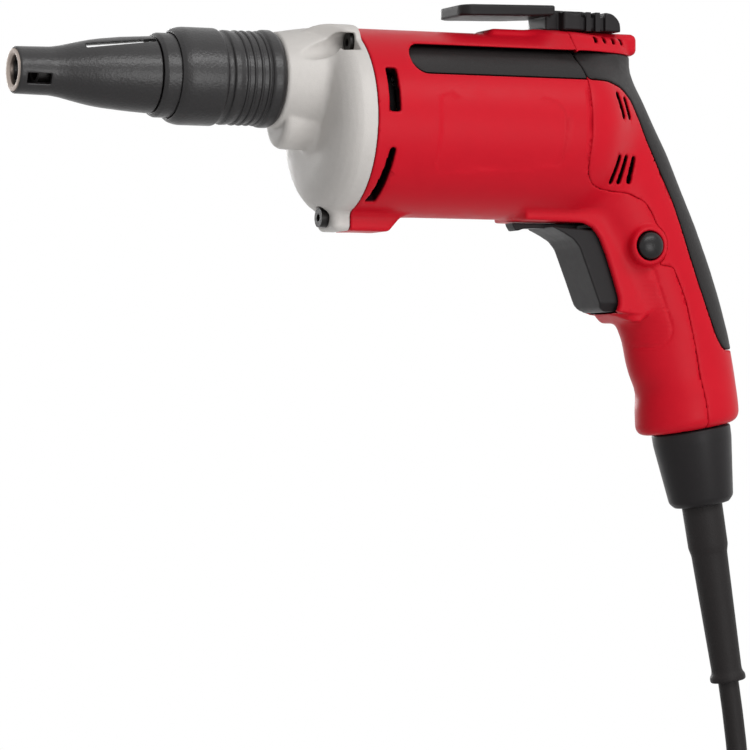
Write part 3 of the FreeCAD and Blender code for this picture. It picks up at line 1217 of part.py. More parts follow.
clip_screw_deep = base_top - clip_low + d.screw_length * clip_thread_share
turned("belt_clip_screw", [
    (d.recess_depth, 0), (d.recess_depth, d.recess_r), (0, d.recess_r), (0, d.screw_head_r),
    (d.screw_head, d.screw_head_r), (d.screw_head, d.screw_r), (clip_screw_deep, d.screw_r), (clip_screw_deep, 0)],
    x=clip_screw_x, z=base_top, axis=(0, 1, 0), angle=90)
clip_screw_hole = primitive("Cylinder", "clip_screw_hole", Radius=d.screw_r, Height=clip_screw_deep)
put(clip_screw_hole, clip_screw_x, 0, base_top - clip_screw_deep)

# Power inlet in the handle base and the cord set below it, all on the tilted base axis.
tilted = dict(x=d.base_x, z=-d.base_drop, axis=(0, 1, 0), angle=size(90) - d.base_tilt)
inlet_r = d.plug_bore_r
inlet = turned("power_inlet", [(-d.inlet_depth, 0), (-d.inlet_depth, inlet_r), (0, inlet_r), (0, 0)], **tilted)
pin_hole = sketch_on(inlet, "pin_hole_outline", "YZ_Plane", lift=-d.inlet_depth / 2)
for sign in (1, -1):
    ring(pin_hole, 0, d.pin_circle * sign, d.pin_r)
feature(inlet, "Pocket", "pin_holes", pin_hole, Length=d.inlet_depth, Reversed=True)
pins = body("inlet_pins", **tilted)
pin_outline = sketch_on(pins, "pins_outline", "YZ_Plane", lift=-d.inlet_depth / 2)
for sign in (1, -1):
    ring(pin_outline, 0, d.pin_circle * sign, d.pin_r)
feature(pins, "Pad", "pins_pad", pin_outline, Length=d.inlet_depth / 2 + d.pin_length)
nut_end = d.run_gap + d.nut_length
turned("cord_nut", [
    (d.run_gap, d.plug_bore_r + d.fit_gap), (d.run_gap, d.nut_top_r), (nut_end - d.nut_round, d.nut_end_r),
    (nut_end, d.nut_end_r - d.nut_round), (nut_end, d.relief_r + d.fit_gap),
    (nut_end - d.nut_round * 2, d.relief_r + d.fit_gap),
    (nut_end - d.nut_round * 2, d.plug_bore_r + d.fit_gap)], **tilted)
connector_end = nut_end - d.nut_round * 2 - d.run_gap
connector = turned("cord_connector", [
    (0, 0), (0, d.plug_bore_r), (connector_end, d.plug_bore_r), (connector_end, 0)], **tilted)
socket_hole = sketch_on(connector, "socket_hole_outline", "YZ_Plane", lift=-d.overrun)
for sign in (1, -1):
    ring(socket_hole, 0, d.pin_circle * sign, d.pin_r)
feature(connector, "Pocket", "socket_holes", socket_hole, Length=d.pin_length + d.overrun, Reversed=True)
relief_end = nut_end + d.relief_length
step_share = 0.2
taper_share = 0.96
step_x = nut_end + d.relief_length * step_share
turned("strain_relief", [
    (connector_end, 0), (connector_end, d.relief_r), (step_x, d.relief_r * taper_share),
    (step_x + d.nut_round, d.relief_step_r), (relief_end - d.nut_round * 2, d.relief_end_r),
    (relief_end - d.nut_round, d.relief_flange_r), (relief_end, d.relief_flange_r), (relief_end, 0)], **tilted)

# Cord: a lead that hangs from the strain relief, a coil of two layers, a tie and a plug.
tilt = math.radians(d.base_tilt.number)
down = Vector(math.sin(tilt), 0, -math.cos(tilt))
lead_start = Vector(d.base_x.number, 0, -d.base_drop.number) + down * relief_end.number
turn_pitch = d.loop_pitch.number / 2 / math.pi
layer = d.loop_pitch.number / 2
half_turns = TURNS / 2
easing = 0.25


def coil_spot(turns):
    """Point on the coil's middle line, spiralling in on one layer and out on the other."""
    depth = half_turns - abs(turns - half_turns)
    if depth > half_turns - easing:
        past = (turns - half_turns) / easing
        depth = half_turns - easing + easing * (1 - past * past) / 2
        side = math.sin(math.pi / 2 * past) * layer
    else:
        side = layer if turns > half_turns else -layer
    radius = d.loop_r.number - d.loop_pitch.number * depth
    angle = 2 * math.pi * turns
    return Vector(radius * math.cos(angle), side, -radius * math.sin(angle))


def coil_lean(turns):
    """Direction of travel on the coil."""
    step = 1e-5
    low = max(0.0, turns - step)
    high = min(float(TURNS), turns + step)
    return (coil_spot(high) - coil_spot(low)).normalize()


def arc(start, lean, end):
    """A circular arc from a start and its direction to an end."""
    chord = end - start
    normal = lean.cross(chord)
    if normal.Length < 1e-7 * chord.Length:
        return Part.LineSegment(start, end)
    inward = normal.cross(lean).normalize()
    radius = chord.dot(chord) / 2 / inward.dot(chord)
    centre = start + inward * radius
    middle = (start + end) / 2 - centre
    middle = middle.normalize() * abs(radius)
    if lean.dot(chord) < 0:
        middle = -middle
    return Part.Arc(start, centre + middle, end)


def biarc(start, lean_a, end, lean_b):
    """Two arcs that join two points and their directions smoothly."""
    chord = end - start
    total = lean_a + lean_b
    a = 2 * (1 - lean_a.dot(lean_b))
    b = 2 * chord.dot(total)
    c = -chord.dot(chord)
    if abs(a) < 1e-9:
        reach = -c / b
    else:
        reach = (-b + math.sqrt(b * b - 4 * a * c)) / 2 / a
    joint = (start + end + (lean_a - lean_b) * reach) / 2
    lean_j = (end - lean_b * reach - start - lean_a * reach).normalize()
    return [arc(start, lean_a, joint), arc(joint, lean_j, end)]


def tube(path, radius, start, lean):
    """One unbroken tube along a path."""
    wire = Part.Wire([piece.toShape() for piece in path])
    circle = Part.Wire(Part.makeCircle(radius, start, lean))
    return wire, wire.makePipeShell([circle], True, False)


first_lean = coil_lean(0.0)
last_lean = coil_lean(float(TURNS))
straight = d.cord_r.number * 2
coil_entry = lead_start + Vector(d.lead_side.number, -layer, -d.lead_drop.number)
coil_centre = coil_entry + first_lean * straight - coil_spot(0.0)
path = [Part.LineSegment(coil_entry, coil_centre + coil_spot(0.0))]
quarters = TURNS * 4
for i in range(quarters):
    a = i / 4
    b = (i + 1) / 4
    path += biarc(coil_centre + coil_spot(a), coil_lean(a), coil_centre + coil_spot(b), coil_lean(b))
coil_exit = coil_centre + coil_spot(float(TURNS)) + last_lean * straight
path.append(Part.LineSegment(coil_centre + coil_spot(float(TURNS)), coil_exit))
coil_wire, coil_shape = tube(path, d.cord_r.number, coil_entry, first_lean)
solid_piece("cord_coil", coil_shape)


bend_share = 0.45


def bent(points):
    """Straight runs joined by tangent arcs; prints each arc's radius."""
    pieces = []
    at = points[0]
    for before, corner, after in zip(points, points[1:], points[2:]):
        back = before - corner
        ahead = after - corner
        shorter = min(back.Length, ahead.Length)
        back.normalize()
        ahead.normalize()
        half = math.acos(max(-1.0, min(1.0, -back.dot(ahead)))) / 2
        cutback = bend_share * shorter
        radius = cutback / math.tan(half)
        print("cord bend radius %.1f mm" % radius)
        enter = corner + back * cutback
        leave = corner + ahead * cutback
        inward = (back + ahead).normalize()
        middle = corner + inward * (radius / math.cos(half) - radius)
        pieces.append(Part.LineSegment(at, enter))
        pieces.append(Part.Arc(enter, middle, leave))
        at = leave
    pieces.append(Part.LineSegment(at, points[-1]))
    return pieces


lead_end_share = 0.9
lead_points = [lead_start, lead_start + down * d.lead_straight.number,
               coil_entry - first_lean * d.lead_straight.number * lead_end_share, coil_entry]
lead_wire, lead_shape = tube(bent(lead_points), d.cord_r.number, lead_start, down)
solid_piece("cord_lead", lead_shape)
tail_end = coil_exit + last_lean * d.tail_length.number
tail = Part.makeCylinder(d.cord_r.number, d.tail_length.number, coil_exit, last_lean)
solid_piece("cord_tail", tail)
area = math.pi * d.cord_r.number ** 2
for name, shape, length in (("lead", lead_shape, lead_wire.Length), ("coil", coil_shape, coil_wire.Length)):
    print("cord %s length %.1f mm, volume over section %.4f" % (name, length, shape.Volume / area / length))
samples = coil_wire.discretize(Number=TURNS * 128)
count = len(samples)
skip = int(math.pi * d.cord_r.number * 2 * count / coil_wire.Length) + 1
closest = min((samples[i] - samples[j]).Length for i in range(count) for j in range(i + skip, count))
print("coil least gap to itself %.2f mm" % (closest - d.cord_r.number * 2))
spread = TURNS / 2 - easing / 2
inner = d.loop_r.number - d.loop_pitch.number * spread
half_band = (d.loop_r.number - inner) / 2 + d.cord_r.number + d.loop_pitch.number / 4
tie_high = layer + d.cord_r.number
mid_x = coil_centre.x - (d.loop_r.number + inner) / 2
tie_box = Part.makeBox(half_band * 2, tie_high * 2, d.tie_width.number,
                       Vector(mid_x - half_band, -tie_high, coil_centre.z - d.tie_width.number / 2))
grown = d.tie_thick.number
tie_out = Part.makeBox(half_band * 2 + grown * 2, tie_high * 2 + grown * 2, d.tie_width.number,
                       Vector(mid_x - half_band - grown, -tie_high - grown, coil_centre.z - d.tie_width.number / 2))
solid_piece("cord_tie", tie_out.cut(tie_box))
plug_shares = ((0.0, 0.42), (0.25, 0.6), (0.45, 1.0), (1.0, 1.0))
neck_share = 0.55
plug_sections = []
plug_turn = Rotation(Vector(1, 0, 0), last_lean.cross(Vector(1, 0, 0)), last_lean, "ZXY")
for along, broad in plug_shares:
    spot = tail_end + last_lean * (d.plug_length.number * along)
    oval = Part.Ellipse(Vector(), d.plug_r.number * broad, d.plug_half.number * max(broad, neck_share))
    wire = Part.Wire(oval.toShape())
    wire.Placement = Placement(spot, plug_turn)
    plug_sections.append(wire)
plug_shape = Part.makeLoft(plug_sections, True, True)
solid_piece("plug_body", plug_shape)
blade_start = tail_end + last_lean * d.plug_length.number
blades = []
for sign in (1, -1):
    leaf = Part.makeBox(d.blade_thick.number, d.blade_wide.number, d.blade_length.number)
    leaf.translate(Vector(d.blade_apart.number / 2 * sign - d.blade_thick.number / 2, -d.blade_wide.number / 2, 0))
    leaf.Placement = Placement(blade_start, plug_turn).multiply(leaf.Placement)
    blades.append(leaf)
solid_piece("plug_blades", Part.makeCompound(blades))

# Housing and cover, cut from the shell along the seam.
inlet_seat = primitive("Cylinder", "inlet_seat", Radius=inlet_r, Height=d.inlet_depth)
put(inlet_seat, d.base_x, 0, -d.base_drop, (0, 1, 0), -d.base_tilt)
seats = slits + [clip_screw_hole, inlet_seat, switch_block]
open_shell = cut("open_shell", shell, seats)
open_wall = cut("open_wall", cut("inner_wall", skin_form, [hollow_form]), seats)
thread_holes = []
for i, (across, up, front) in enumerate(screw_spots):
    thread_holes.append(rod("thread_hole_%d" % i, 0, across, up, d.screw_r, d.screw_length + d.screw_head))
pad_r = d.screw_head_r + d.overrun * 0.8
pad_share = 0.8
boss_pads = []
boss_notches = []
for i, sign in enumerate((1, -1)):
    across = d.boss_y * sign
    boss_pads.append(rod("thread_boss_%d" % i, 0, across, d.boss_z, pad_r, d.screw_length * pad_share))
    notch_deep = d.boss_back + d.overrun
    boss_notches.append(rod("boss_notch_%d" % i, -d.overrun, across, d.boss_z, d.boss_r, notch_deep))
housing_tools = vents + [label_cut, trigger_room, lever_room, lever_hole, button_hole, button_room, front_raw]
housing_tools += thread_holes + boss_notches
front_shell = cut("front_shell", open_shell, [cover_region])
node(cut("motor_housing", fused("housing_blank", [front_shell] + boss_pads), housing_tools), "motor_housing")
bare_wall = common("bare_wall", [cut("bandless_shell", open_shell, [rear_region]), cover_region])
under_grip = common("under_grip", [open_wall, rear_region])
node(fused("handle_cover", [bare_wall, under_grip]), "handle_cover")

document.recompute()
bad = [item.Name for item in document.Objects if "Invalid" in item.State or "Error" in item.State]
if bad:
    raise RuntimeError("not built: " + ", ".join(bad))
os.makedirs("parts", exist_ok=True)
for item in NODES:
    shape = item.Shape
    if shape.isNull() or not shape.isValid() or not shape.Solids:
        raise RuntimeError("bad shape: " + item.Label)
    shape.exportStep("parts/%s.step" % item.Label)
    print("%-24s solids %d volume %.0f" % (item.Label, len(shape.Solids), shape.Volume))
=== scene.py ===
import json
import math
import bpy
import numpy as np
import openvdb
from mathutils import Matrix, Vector


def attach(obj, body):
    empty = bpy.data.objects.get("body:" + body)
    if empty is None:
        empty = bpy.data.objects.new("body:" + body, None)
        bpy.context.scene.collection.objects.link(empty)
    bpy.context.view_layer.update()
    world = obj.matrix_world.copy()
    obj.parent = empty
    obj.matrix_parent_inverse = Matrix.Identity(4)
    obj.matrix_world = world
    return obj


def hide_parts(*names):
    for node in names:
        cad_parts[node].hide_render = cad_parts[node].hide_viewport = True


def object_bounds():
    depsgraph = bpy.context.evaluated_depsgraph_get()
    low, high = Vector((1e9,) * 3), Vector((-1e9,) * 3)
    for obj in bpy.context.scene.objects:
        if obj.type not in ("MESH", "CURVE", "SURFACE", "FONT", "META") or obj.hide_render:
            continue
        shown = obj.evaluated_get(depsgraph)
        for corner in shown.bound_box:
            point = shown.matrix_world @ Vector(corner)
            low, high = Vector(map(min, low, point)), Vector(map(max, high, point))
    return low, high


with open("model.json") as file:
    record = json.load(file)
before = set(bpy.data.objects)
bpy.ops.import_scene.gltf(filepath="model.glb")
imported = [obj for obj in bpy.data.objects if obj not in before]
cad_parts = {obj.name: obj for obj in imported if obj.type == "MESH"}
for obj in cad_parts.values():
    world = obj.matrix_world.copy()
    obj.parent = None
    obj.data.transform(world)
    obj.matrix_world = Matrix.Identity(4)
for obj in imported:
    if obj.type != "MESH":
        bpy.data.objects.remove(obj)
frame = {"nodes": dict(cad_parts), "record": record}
first_box = [list(corner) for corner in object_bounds()]

# Shapes below are worked out in the tool frame, in millimetres: spindle axis on X with the nose towards -X,
# x = 0 at the joint between gear case and motor housing, Z up. GRIP is the row's origin in that frame.
MM = 1000.0
GRIP = np.array([138.0, 0.0, -90.0])
# Motor barrel: height of its axis and its radius.
MOTOR_Z, MOTOR_R = -15.0, 35.0
# Seam between housing and cover on the barrel, and the joint between housing and gear case.
SEAM_X, JOINT_X = 86.4, -0.6
# Base of the handle: its lean, its middle and the way that the cord leaves it.
TILT = math.radians(9.5)
BASE = (145.5, -128.6)
DOWN = (math.sin(TILT), -math.cos(TILT))
FINE = 1.0


def row(points):
    """Tool frame millimetres to row frame metres."""
    return (np.asarray(points, float) - GRIP) / MM


# Colours and materials

# Sockets of a mix node, by number.
FACTOR, FLOAT_A, FLOAT_B, COLOUR_A, COLOUR_B, COLOUR_OUT = 0, 2, 3, 6, 7, 2
# Noise detail of mottle and grain, the part of the mottle that counts, and how far roughness follows it.
MOTTLE_DETAIL, GRAIN_DETAIL = 3.0, 2.0
MOTTLE_LOW, MOTTLE_HIGH = 0.3, 0.7
SMOOTH_SHARE, ROUGH_SHARE = 0.92, 1.08


def linear(code):
    """sRGB hex to linear RGBA."""
    parts = [int(code[i:i + 2], 16) / 255.0 for i in (0, 2, 4)]
    return tuple(c / 12.92 if c <= 0.04045 else ((c + 0.055) / 1.055) ** 2.4 for c in parts) + (1.0,)


def add(tree, kind, links=None, **values):
    """Adds a node, sets its properties and plain socket values, and links sockets by name."""
    node = tree.nodes.new(kind)
    for key, value in values.items():
        setattr(node, key, value)
    for key, value in (links or {}).items():
        socket = node.inputs[key]
        if isinstance(value, bpy.types.NodeSocket):
            tree.links.new(value, socket)
        else:
            socket.default_value = value
    return node


def surface(name, colour, rough, metal=0.0, grain_mm=0.6, grain=0.1, mottle=0.12, mottle_mm=4.0, specular=0.5,
            ribs=None, painted_recess_shade=None):
    """A procedural material: mottled colour, a roughness that wanders with it, a fine grain as bump, and
    painted shade where a mesh attribute asks for it.
    """
    mat = bpy.data.materials.new(name)
    mat.use_nodes = True
    tree = mat.node_tree
    tree.nodes.clear()
    where = add(tree, "ShaderNodeTexCoord").outputs["Object"]
    cloud = add(tree, "ShaderNodeTexNoise", {
        "Vector": where, "Scale": MM / mottle_mm, "Detail": MOTTLE_DETAIL})
    fine = add(tree, "ShaderNodeTexNoise", {"Vector": where, "Scale": MM / grain_mm, "Detail": GRAIN_DETAIL})
    plain = linear(colour)[:3]
    dark = tuple(c * (1.0 - mottle) for c in plain) + (1.0,)
    light = tuple(min(1.0, c * (1.0 + mottle)) for c in plain) + (1.0,)
    tint = add(tree, "ShaderNodeMix", {FACTOR: cloud.outputs["Fac"], COLOUR_A: dark, COLOUR_B: light},
               data_type="RGBA")
    # Painted shade: the colour turns near black where the mesh marks a point as lying under the outer form.
    if painted_recess_shade is not None:
        painted_shade = add(tree, "ShaderNodeAttribute", attribute_name="painted_recess_shade").outputs["Fac"]
        tint = add(tree, "ShaderNodeMix", {
            FACTOR: painted_shade, COLOUR_A: tint.outputs[COLOUR_OUT], COLOUR_B: linear(painted_recess_shade)}, data_type="RGBA")
    spread = add(tree, "ShaderNodeMapRange", {
        "Value": cloud.outputs["Fac"], "From Min": MOTTLE_LOW, "From Max": MOTTLE_HIGH,
        "To Min": rough * SMOOTH_SHARE, "To Max": min(1.0, rough * ROUGH_SHARE)})
    height = fine.outputs["Fac"]
    if ribs is not None:
        name_of, pitch_mm, depth = ribs
        mask = add(tree, "ShaderNodeAttribute", attribute_name=name_of).outputs["Fac"]
        split = add(tree, "ShaderNodeSeparateXYZ", {"Vector": where}).outputs["Z"]
        phase = add(tree, "ShaderNodeMath", {0: split, 1: 2 * MM * math.pi / pitch_mm}, operation="MULTIPLY")
        wave = add(tree, "ShaderNodeMath", {0: phase.outputs[0]}, operation="SINE")
        held = add(tree, "ShaderNodeMath", {0: wave.outputs[0], 1: mask}, operation="MULTIPLY")
        tall = add(tree, "ShaderNodeMath", {0: held.outputs[0], 1: depth, 2: height},
                   operation="MULTIPLY_ADD")
        height = tall.outputs[0]
    bump = add(tree, "ShaderNodeBump", {"Height": height, "Strength": grain, "Distance": grain_mm / MM})
    shader = add(tree, "ShaderNodeBsdfPrincipled", {
        "Base Color": tint.outputs[COLOUR_OUT], "Roughness": spread.outputs["Result"], "Metallic": metal,
        "Normal": bump.outputs["Normal"], "Specular IOR Level": specular})
    out = add(tree, "ShaderNodeOutputMaterial")
    tree.links.new(shader.outputs["BSDF"], out.inputs["Surface"])
    return mat


# Saturated red with a broad soft sheen and faint moulding grain; ribs on the grip panel, and painted shade in
# near black inside slots and other hollows under the outer form.
RED = surface("red_nylon_injection_moulded", "C00F22", 0.4, grain_mm=0.5, grain=0.04, mottle=0.04,
              mottle_mm=6.0, specular=0.12, ribs=("grip_panel", 1.7, 0.6), painted_recess_shade="160306")
# Charcoal with a faint speckle that breaks up the highlight.
GLASS_BLACK = surface("black_glass_filled_nylon_moulded", "1B191A", 0.35, grain_mm=1.0, grain=0.14,
                      mottle=0.25, mottle_mm=1.3, specular=0.5)
# Flat charcoal of a soft overmould.
SOFT_BLACK = surface("black_thermoplastic_rubber_overmoulded", "211E1E", 0.5, grain_mm=0.8, grain=0.15,
                     mottle=0.2, mottle_mm=1.5, specular=0.2)
# Smooth charcoal of small moulded controls.
PLAIN_BLACK = surface("black_nylon_injection_moulded", "211F20", 0.4, grain_mm=0.4, grain=0.06, mottle=0.08,
                      mottle_mm=3.0, specular=0.16)
# Near black with a small bright highlight.
BUTTON_BLACK = surface("black_acetal_injection_moulded", "151314", 0.3, grain_mm=0.4, grain=0.04, mottle=0.05,
                       mottle_mm=3.0, specular=0.3)
# Deep black of a flexible sleeve and cord.
CORD_BLACK = surface("black_rubber_extruded", "1F1C1C", 0.55, grain_mm=0.7, grain=0.2, mottle=0.12,
                     mottle_mm=3.0, specular=0.2)
# Warm light grey with a fine blasted sparkle and soft shading.
CAST = surface("aluminium_die_cast_bead_blasted", "C2BEBA", 0.5, metal=0.05, grain_mm=0.45, grain=0.22,
               mottle=0.05, mottle_mm=2.0)
# Pale worn steel of the locator tip.
STEEL = surface("steel_turned", "A89C94", 0.45, metal=1.0, grain_mm=0.3, grain=0.08, mottle=0.05)
# Metals and other stuff of the pieces inside.
WIRE = surface("spring_steel_drawn", "8C8C90", 0.35, metal=1.0, grain_mm=0.3, grain=0.05)
OXIDE = surface("steel_black_oxide", "1C1A1A", 0.4, metal=0.4, grain_mm=0.3, grain=0.08)
BRONZE = surface("bronze_sintered", "A9793F", 0.45, metal=1.0, grain_mm=0.4, grain=0.15)
STACK = surface("silicon_steel_laminated", "6E6F72", 0.4, metal=1.0, grain_mm=0.4, grain=0.2)
COPPER = surface("copper_wire_enamelled", "B4612F", 0.35, metal=0.9, grain_mm=0.5, grain=0.3)
BRASS = surface("brass_stamped", "C9A052", 0.3, metal=1.0, grain_mm=0.3, grain=0.06)
CARBON = surface("carbon_pressed", "232323", 0.7, grain_mm=0.3, grain=0.1)
WOVEN = surface("nylon_webbing_woven", "262626", 0.8, grain_mm=0.9, grain=0.5)

SLOT_LOOK = {
    "red_plastic": RED, "black_plastic": PLAIN_BLACK, "soft_rubber": SOFT_BLACK, "cord_rubber": CORD_BLACK,
    "tie_fabric": WOVEN, "cast_aluminium": CAST, "bright_steel": STEEL, "spring_steel": WIRE,
    "black_screws": OXIDE, "bronze": BRONZE, "lamination_steel": STACK, "copper": COPPER, "brass": BRASS,
    "carbon": CARBON,
}
for part in frame["record"]["subparts"]:
    mesh = frame["nodes"][part["node"]].data
    mesh.materials.clear()
    mesh.materials.append(SLOT_LOOK[part["material_slot"]])
# Painted shade: the bit holder takes the dark oxide look, so that the inside of the nose reads dark.
frame["nodes"]["bit_holder"].data.materials[0] = OXIDE


def place(obj, look, body, slot, *nodes):
    """Gives a piece its look and body, and lets it stand for CAD nodes. The record slot is not used."""
    if obj.name not in bpy.context.scene.collection.objects:
        bpy.context.scene.collection.objects.link(obj)
    if len(obj.data.materials) == 0:
        obj.data.materials.append(look)
    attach(obj, body)
    if nodes:
        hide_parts(*nodes)
    return obj


# Shapes as distance fields

# Farther than any distance, and small amounts that keep a division or an angle defined.
FAR, TINY, HAIR = 1e12, 1e-9, 1e-6
# Keeps a sample inside the grid's last cell.
LAST_CELL = 1.001
# Most of an edge that a rounded corner may use.
CORNER_SHARE = 0.45
# Width of the kept distances in cells, and the step over which normals are measured.
KEPT_CELLS, LEAN_CELLS = 4, 0.6
# Depth under the outer form at which painted shade starts to darken a slot, and over which it grows to full.
PAINTED_SHADE_FROM, PAINTED_SHADE_OVER = 0.45, 0.6
# Radius that closes a turned piece on its axis, and the points on each of its beveled corners.
CORE_R, BEVEL_POINTS = 0.01, 3
# Sampling step of a smooth line, its reach in steps, and its blur.
CURVE_STEP, CURVE_REACH, CURVE_BLUR = 0.25, 24, 1.6


class Field:
    """A grid of sample points in the tool frame."""

    def __init__(self, low, high, step):
        self.low = np.asarray(low, float)
        self.step = step * FINE
        count = np.ceil((np.asarray(high, float) - self.low) / self.step).astype(int) + 1
        lines = [self.low[i] + self.step * np.arange(count[i]) for i in range(3)]
        self.x = lines[0].astype(np.float32)[:, None, None]
        self.y = lines[1].astype(np.float32)[None, :, None]
        self.z = lines[2].astype(np.float32)[None, None, :]
        self.shape = tuple(count)


def smin(a, b, k):
    """Union with a blend about k wide."""
    h = np.clip(0.5 + 0.5 * (b - a) / k, 0.0, 1.0)
    return b + (a - b) * h - k * h * (1.0 - h)


def smax(a, b, k):
    """Intersection with a rounded edge about k wide."""
    return -smin(-a, -b, k)


def minus(a, b, k):
    """a with b taken away, its edges eased."""
    return smax(a, -b, k)


def signed(u, v, corners):
    """Signed distance to a closed outline, negative inside."""
    u, v = np.broadcast_arrays(u, v)
    best = np.full(u.shape, FAR)
    sign = np.ones(u.shape)
    points = np.asarray(corners, float)
    for (ax, ay), (bx, by) in zip(points, np.roll(points, -1, 0)):
        ex, ey = bx - ax, by - ay
        if ex == 0 and ey == 0:
            continue
        wx, wy = u - ax, v - ay
        t = np.clip((wx * ex + wy * ey) / (ex * ex + ey * ey), 0.0, 1.0)
        best = np.minimum(best, (wx - ex * t) ** 2 + (wy - ey * t) ** 2)
        cross = ex * wy - ey * wx
        flip = ((ay <= v) & (by > v) & (cross > 0)) | ((ay > v) & (by <= v) & (cross < 0))
        sign = np.where(flip, -sign, sign)
    return (sign * np.sqrt(best)).astype(np.float32)


def eased(points, soft, steps=5):
    """A closed outline with its corners rounded over a reach in millimetres."""
    points = np.asarray(points, float)
    if soft <= 0:
        return points
    line = []
    for i, here in enumerate(points):
        back = points[i - 1] - here
        ahead = points[(i + 1) % len(points)] - here
        long_back, long_ahead = np.linalg.norm(back), np.linalg.norm(ahead)
        reach = min(soft, long_back * CORNER_SHARE, long_ahead * CORNER_SHARE)
        enter = here + back / long_back * reach
        leave = here + ahead / long_ahead * reach
        for t in np.linspace(0.0, 1.0, steps):
            line.append((1 - t) ** 2 * enter + 2 * t * (1 - t) * here + t * t * leave)
    return np.array(line)


def side(field, points, soft=2.0):
    """Distance to a side outline in the XZ plane."""
    return signed(field.x[:, 0, :], field.z[:, 0, :], eased(points, soft))[:, None, :]


def turned(field, profile, z, soft=0.0):
    """Distance to a solid turned about an axis along X at height z, from (x, radius) corners."""
    radius = np.sqrt(field.y[0] ** 2 + (field.z[0] - z) ** 2)
    table_r = np.arange(0.0, float(radius.max()) + field.step * 2, field.step / 2)
    mirrored = list(profile) + [(x, -r) for x, r in reversed(profile) if r > 0]
    table = signed(field.x[:, 0], table_r[None, :], eased(mirrored, soft))
    at = radius / (field.step / 2)
    low = np.floor(at).astype(int)
    part = (at - low).astype(np.float32)
    return table[:, low] * (1 - part) + table[:, low + 1] * part


def box(field, low, high, soft):
    """Distance to a box with rounded edges."""
    parts = []
    for line, a, b in zip((field.x, field.y, field.z), low, high):
        parts.append(np.abs(line - (a + b) / 2) - ((b - a) / 2 - soft))
    outside = sum(np.maximum(p, 0.0) ** 2 for p in parts)
    inside = np.minimum(np.maximum(np.maximum(parts[0], parts[1]), parts[2]), 0.0)
    return np.sqrt(outside) + inside - soft


def plate(distance, half, line, soft):
    """A flat outline made solid to a half width across a line of positions."""
    a = distance + soft
    b = np.abs(line) - half + soft
    outside = np.sqrt(np.maximum(a, 0.0) ** 2 + np.maximum(b, 0.0) ** 2)
    return np.minimum(np.maximum(a, b), 0.0) + outside - soft


def sampled(values, at):
    """Values between grid points."""
    top = np.array(values.shape) - LAST_CELL
    at = np.clip(at, 0.0, top)
    low = np.floor(at).astype(int)
    part = at - low
    total = np.zeros(len(at))
    for corner in range(8):
        bits = [(corner >> i) & 1 for i in range(3)]
        weight = np.prod([part[:, i] if bits[i] else 1 - part[:, i] for i in range(3)], axis=0)
        total += weight * values[low[:, 0] + bits[0], low[:, 1] + bits[1], low[:, 2] + bits[2]]
    return total


def mesh_of(name, points, faces, normals=None):
    """A mesh in the row frame from tool frame points."""
    mesh = bpy.data.meshes.new(name)
    mesh.from_pydata(row(points).tolist(), [], faces)
    mesh.polygons.foreach_set("use_smooth", [True] * len(mesh.polygons))
    if normals is not None:
        mesh.normals_split_custom_set_from_vertices(normals.tolist())
    mesh.update()
    return mesh


def skin(name, field, distance, adapt=0.02, outer=None):
    """The surface of a distance field as a mesh with its true normals, marked for painted shade where it lies
    under a form.
    """
    band = field.step * KEPT_CELLS
    values = np.clip(np.broadcast_to(distance, field.shape), -band, band).astype(np.float32)
    grid = openvdb.FloatGrid(band)
    grid.copyFromArray(np.ascontiguousarray(values))
    points, triangles, quads = grid.convertToPolygons(isovalue=0.0, adaptivity=adapt)
    lean = np.stack([sampled(values, points + step) - sampled(values, points - step)
                     for step in np.eye(3) * LEAN_CELLS], 1)
    lean /= np.maximum(np.linalg.norm(lean, axis=1, keepdims=True), TINY)
    faces = triangles.tolist() + quads.tolist()
    mesh = mesh_of(name, points * field.step + field.low, faces, lean)
    # Painted shade: points that lie deeper under the outer form are marked to turn dark.
    if outer is not None:
        under = -sampled(np.broadcast_to(outer, field.shape), points)
        mark = mesh.attributes.new("painted_recess_shade", "FLOAT", "POINT")
        painted_shade = np.clip((under - PAINTED_SHADE_FROM) / PAINTED_SHADE_OVER, 0.0, 1.0)
        mark.data.foreach_set("value", painted_shade.astype(np.float32))
    return bpy.data.objects.new(name, mesh)


def lathe(name, profile, origin, axis, count=120, soft=0.35):
    """A turned piece: (station, radius) corners about an axis in the XZ plane or along Y, corners beveled."""
    line = eased(profile, soft, BEVEL_POINTS)
    axis = np.asarray(axis, float)
    cross = np.cross(axis, (0.0, 1.0, 0.0) if abs(axis[1]) < 0.5 else (1.0, 0.0, 0.0))
    cross /= np.linalg.norm(cross)
    third = np.cross(axis, cross)
    angles = np.arange(count) * 2 * math.pi / count
    spokes = np.outer(np.cos(angles), cross) + np.outer(np.sin(angles), third)
    points = []
    for along, radius in line:
        points.append(np.asarray(origin, float) + axis * along + spokes * max(radius, CORE_R))
    points = np.concatenate(points)
    rows = len(line)
    faces = []
    for i in range(rows):
        j = (i + 1) % rows
        for k in range(count):
            n = (k + 1) % count
            faces.append((i * count + k, i * count + n, j * count + n, j * count + k))
    area = sum(a[0] * b[1] - b[0] * a[1] for a, b in zip(line, np.roll(line, -1, 0)))
    if area > 0:
        faces = [face[::-1] for face in faces]
    return bpy.data.objects.new(name, mesh_of(name, points, faces))


def curve(z, table):
    """A smooth line through (height, value) rows, at heights z."""
    rows = sorted(table)
    heights = np.arange(rows[0][0], rows[-1][0], CURVE_STEP)
    values = np.interp(heights, [a for a, _ in rows], [b for _, b in rows])
    reach = np.arange(-CURVE_REACH, CURVE_REACH + 1) * CURVE_STEP
    weight = np.exp(-(reach / CURVE_BLUR) ** 2 / 2)
    padded = np.pad(values, CURVE_REACH, mode="edge")
    return np.interp(z, heights, np.convolve(padded, weight / weight.sum(), mode="valid"))


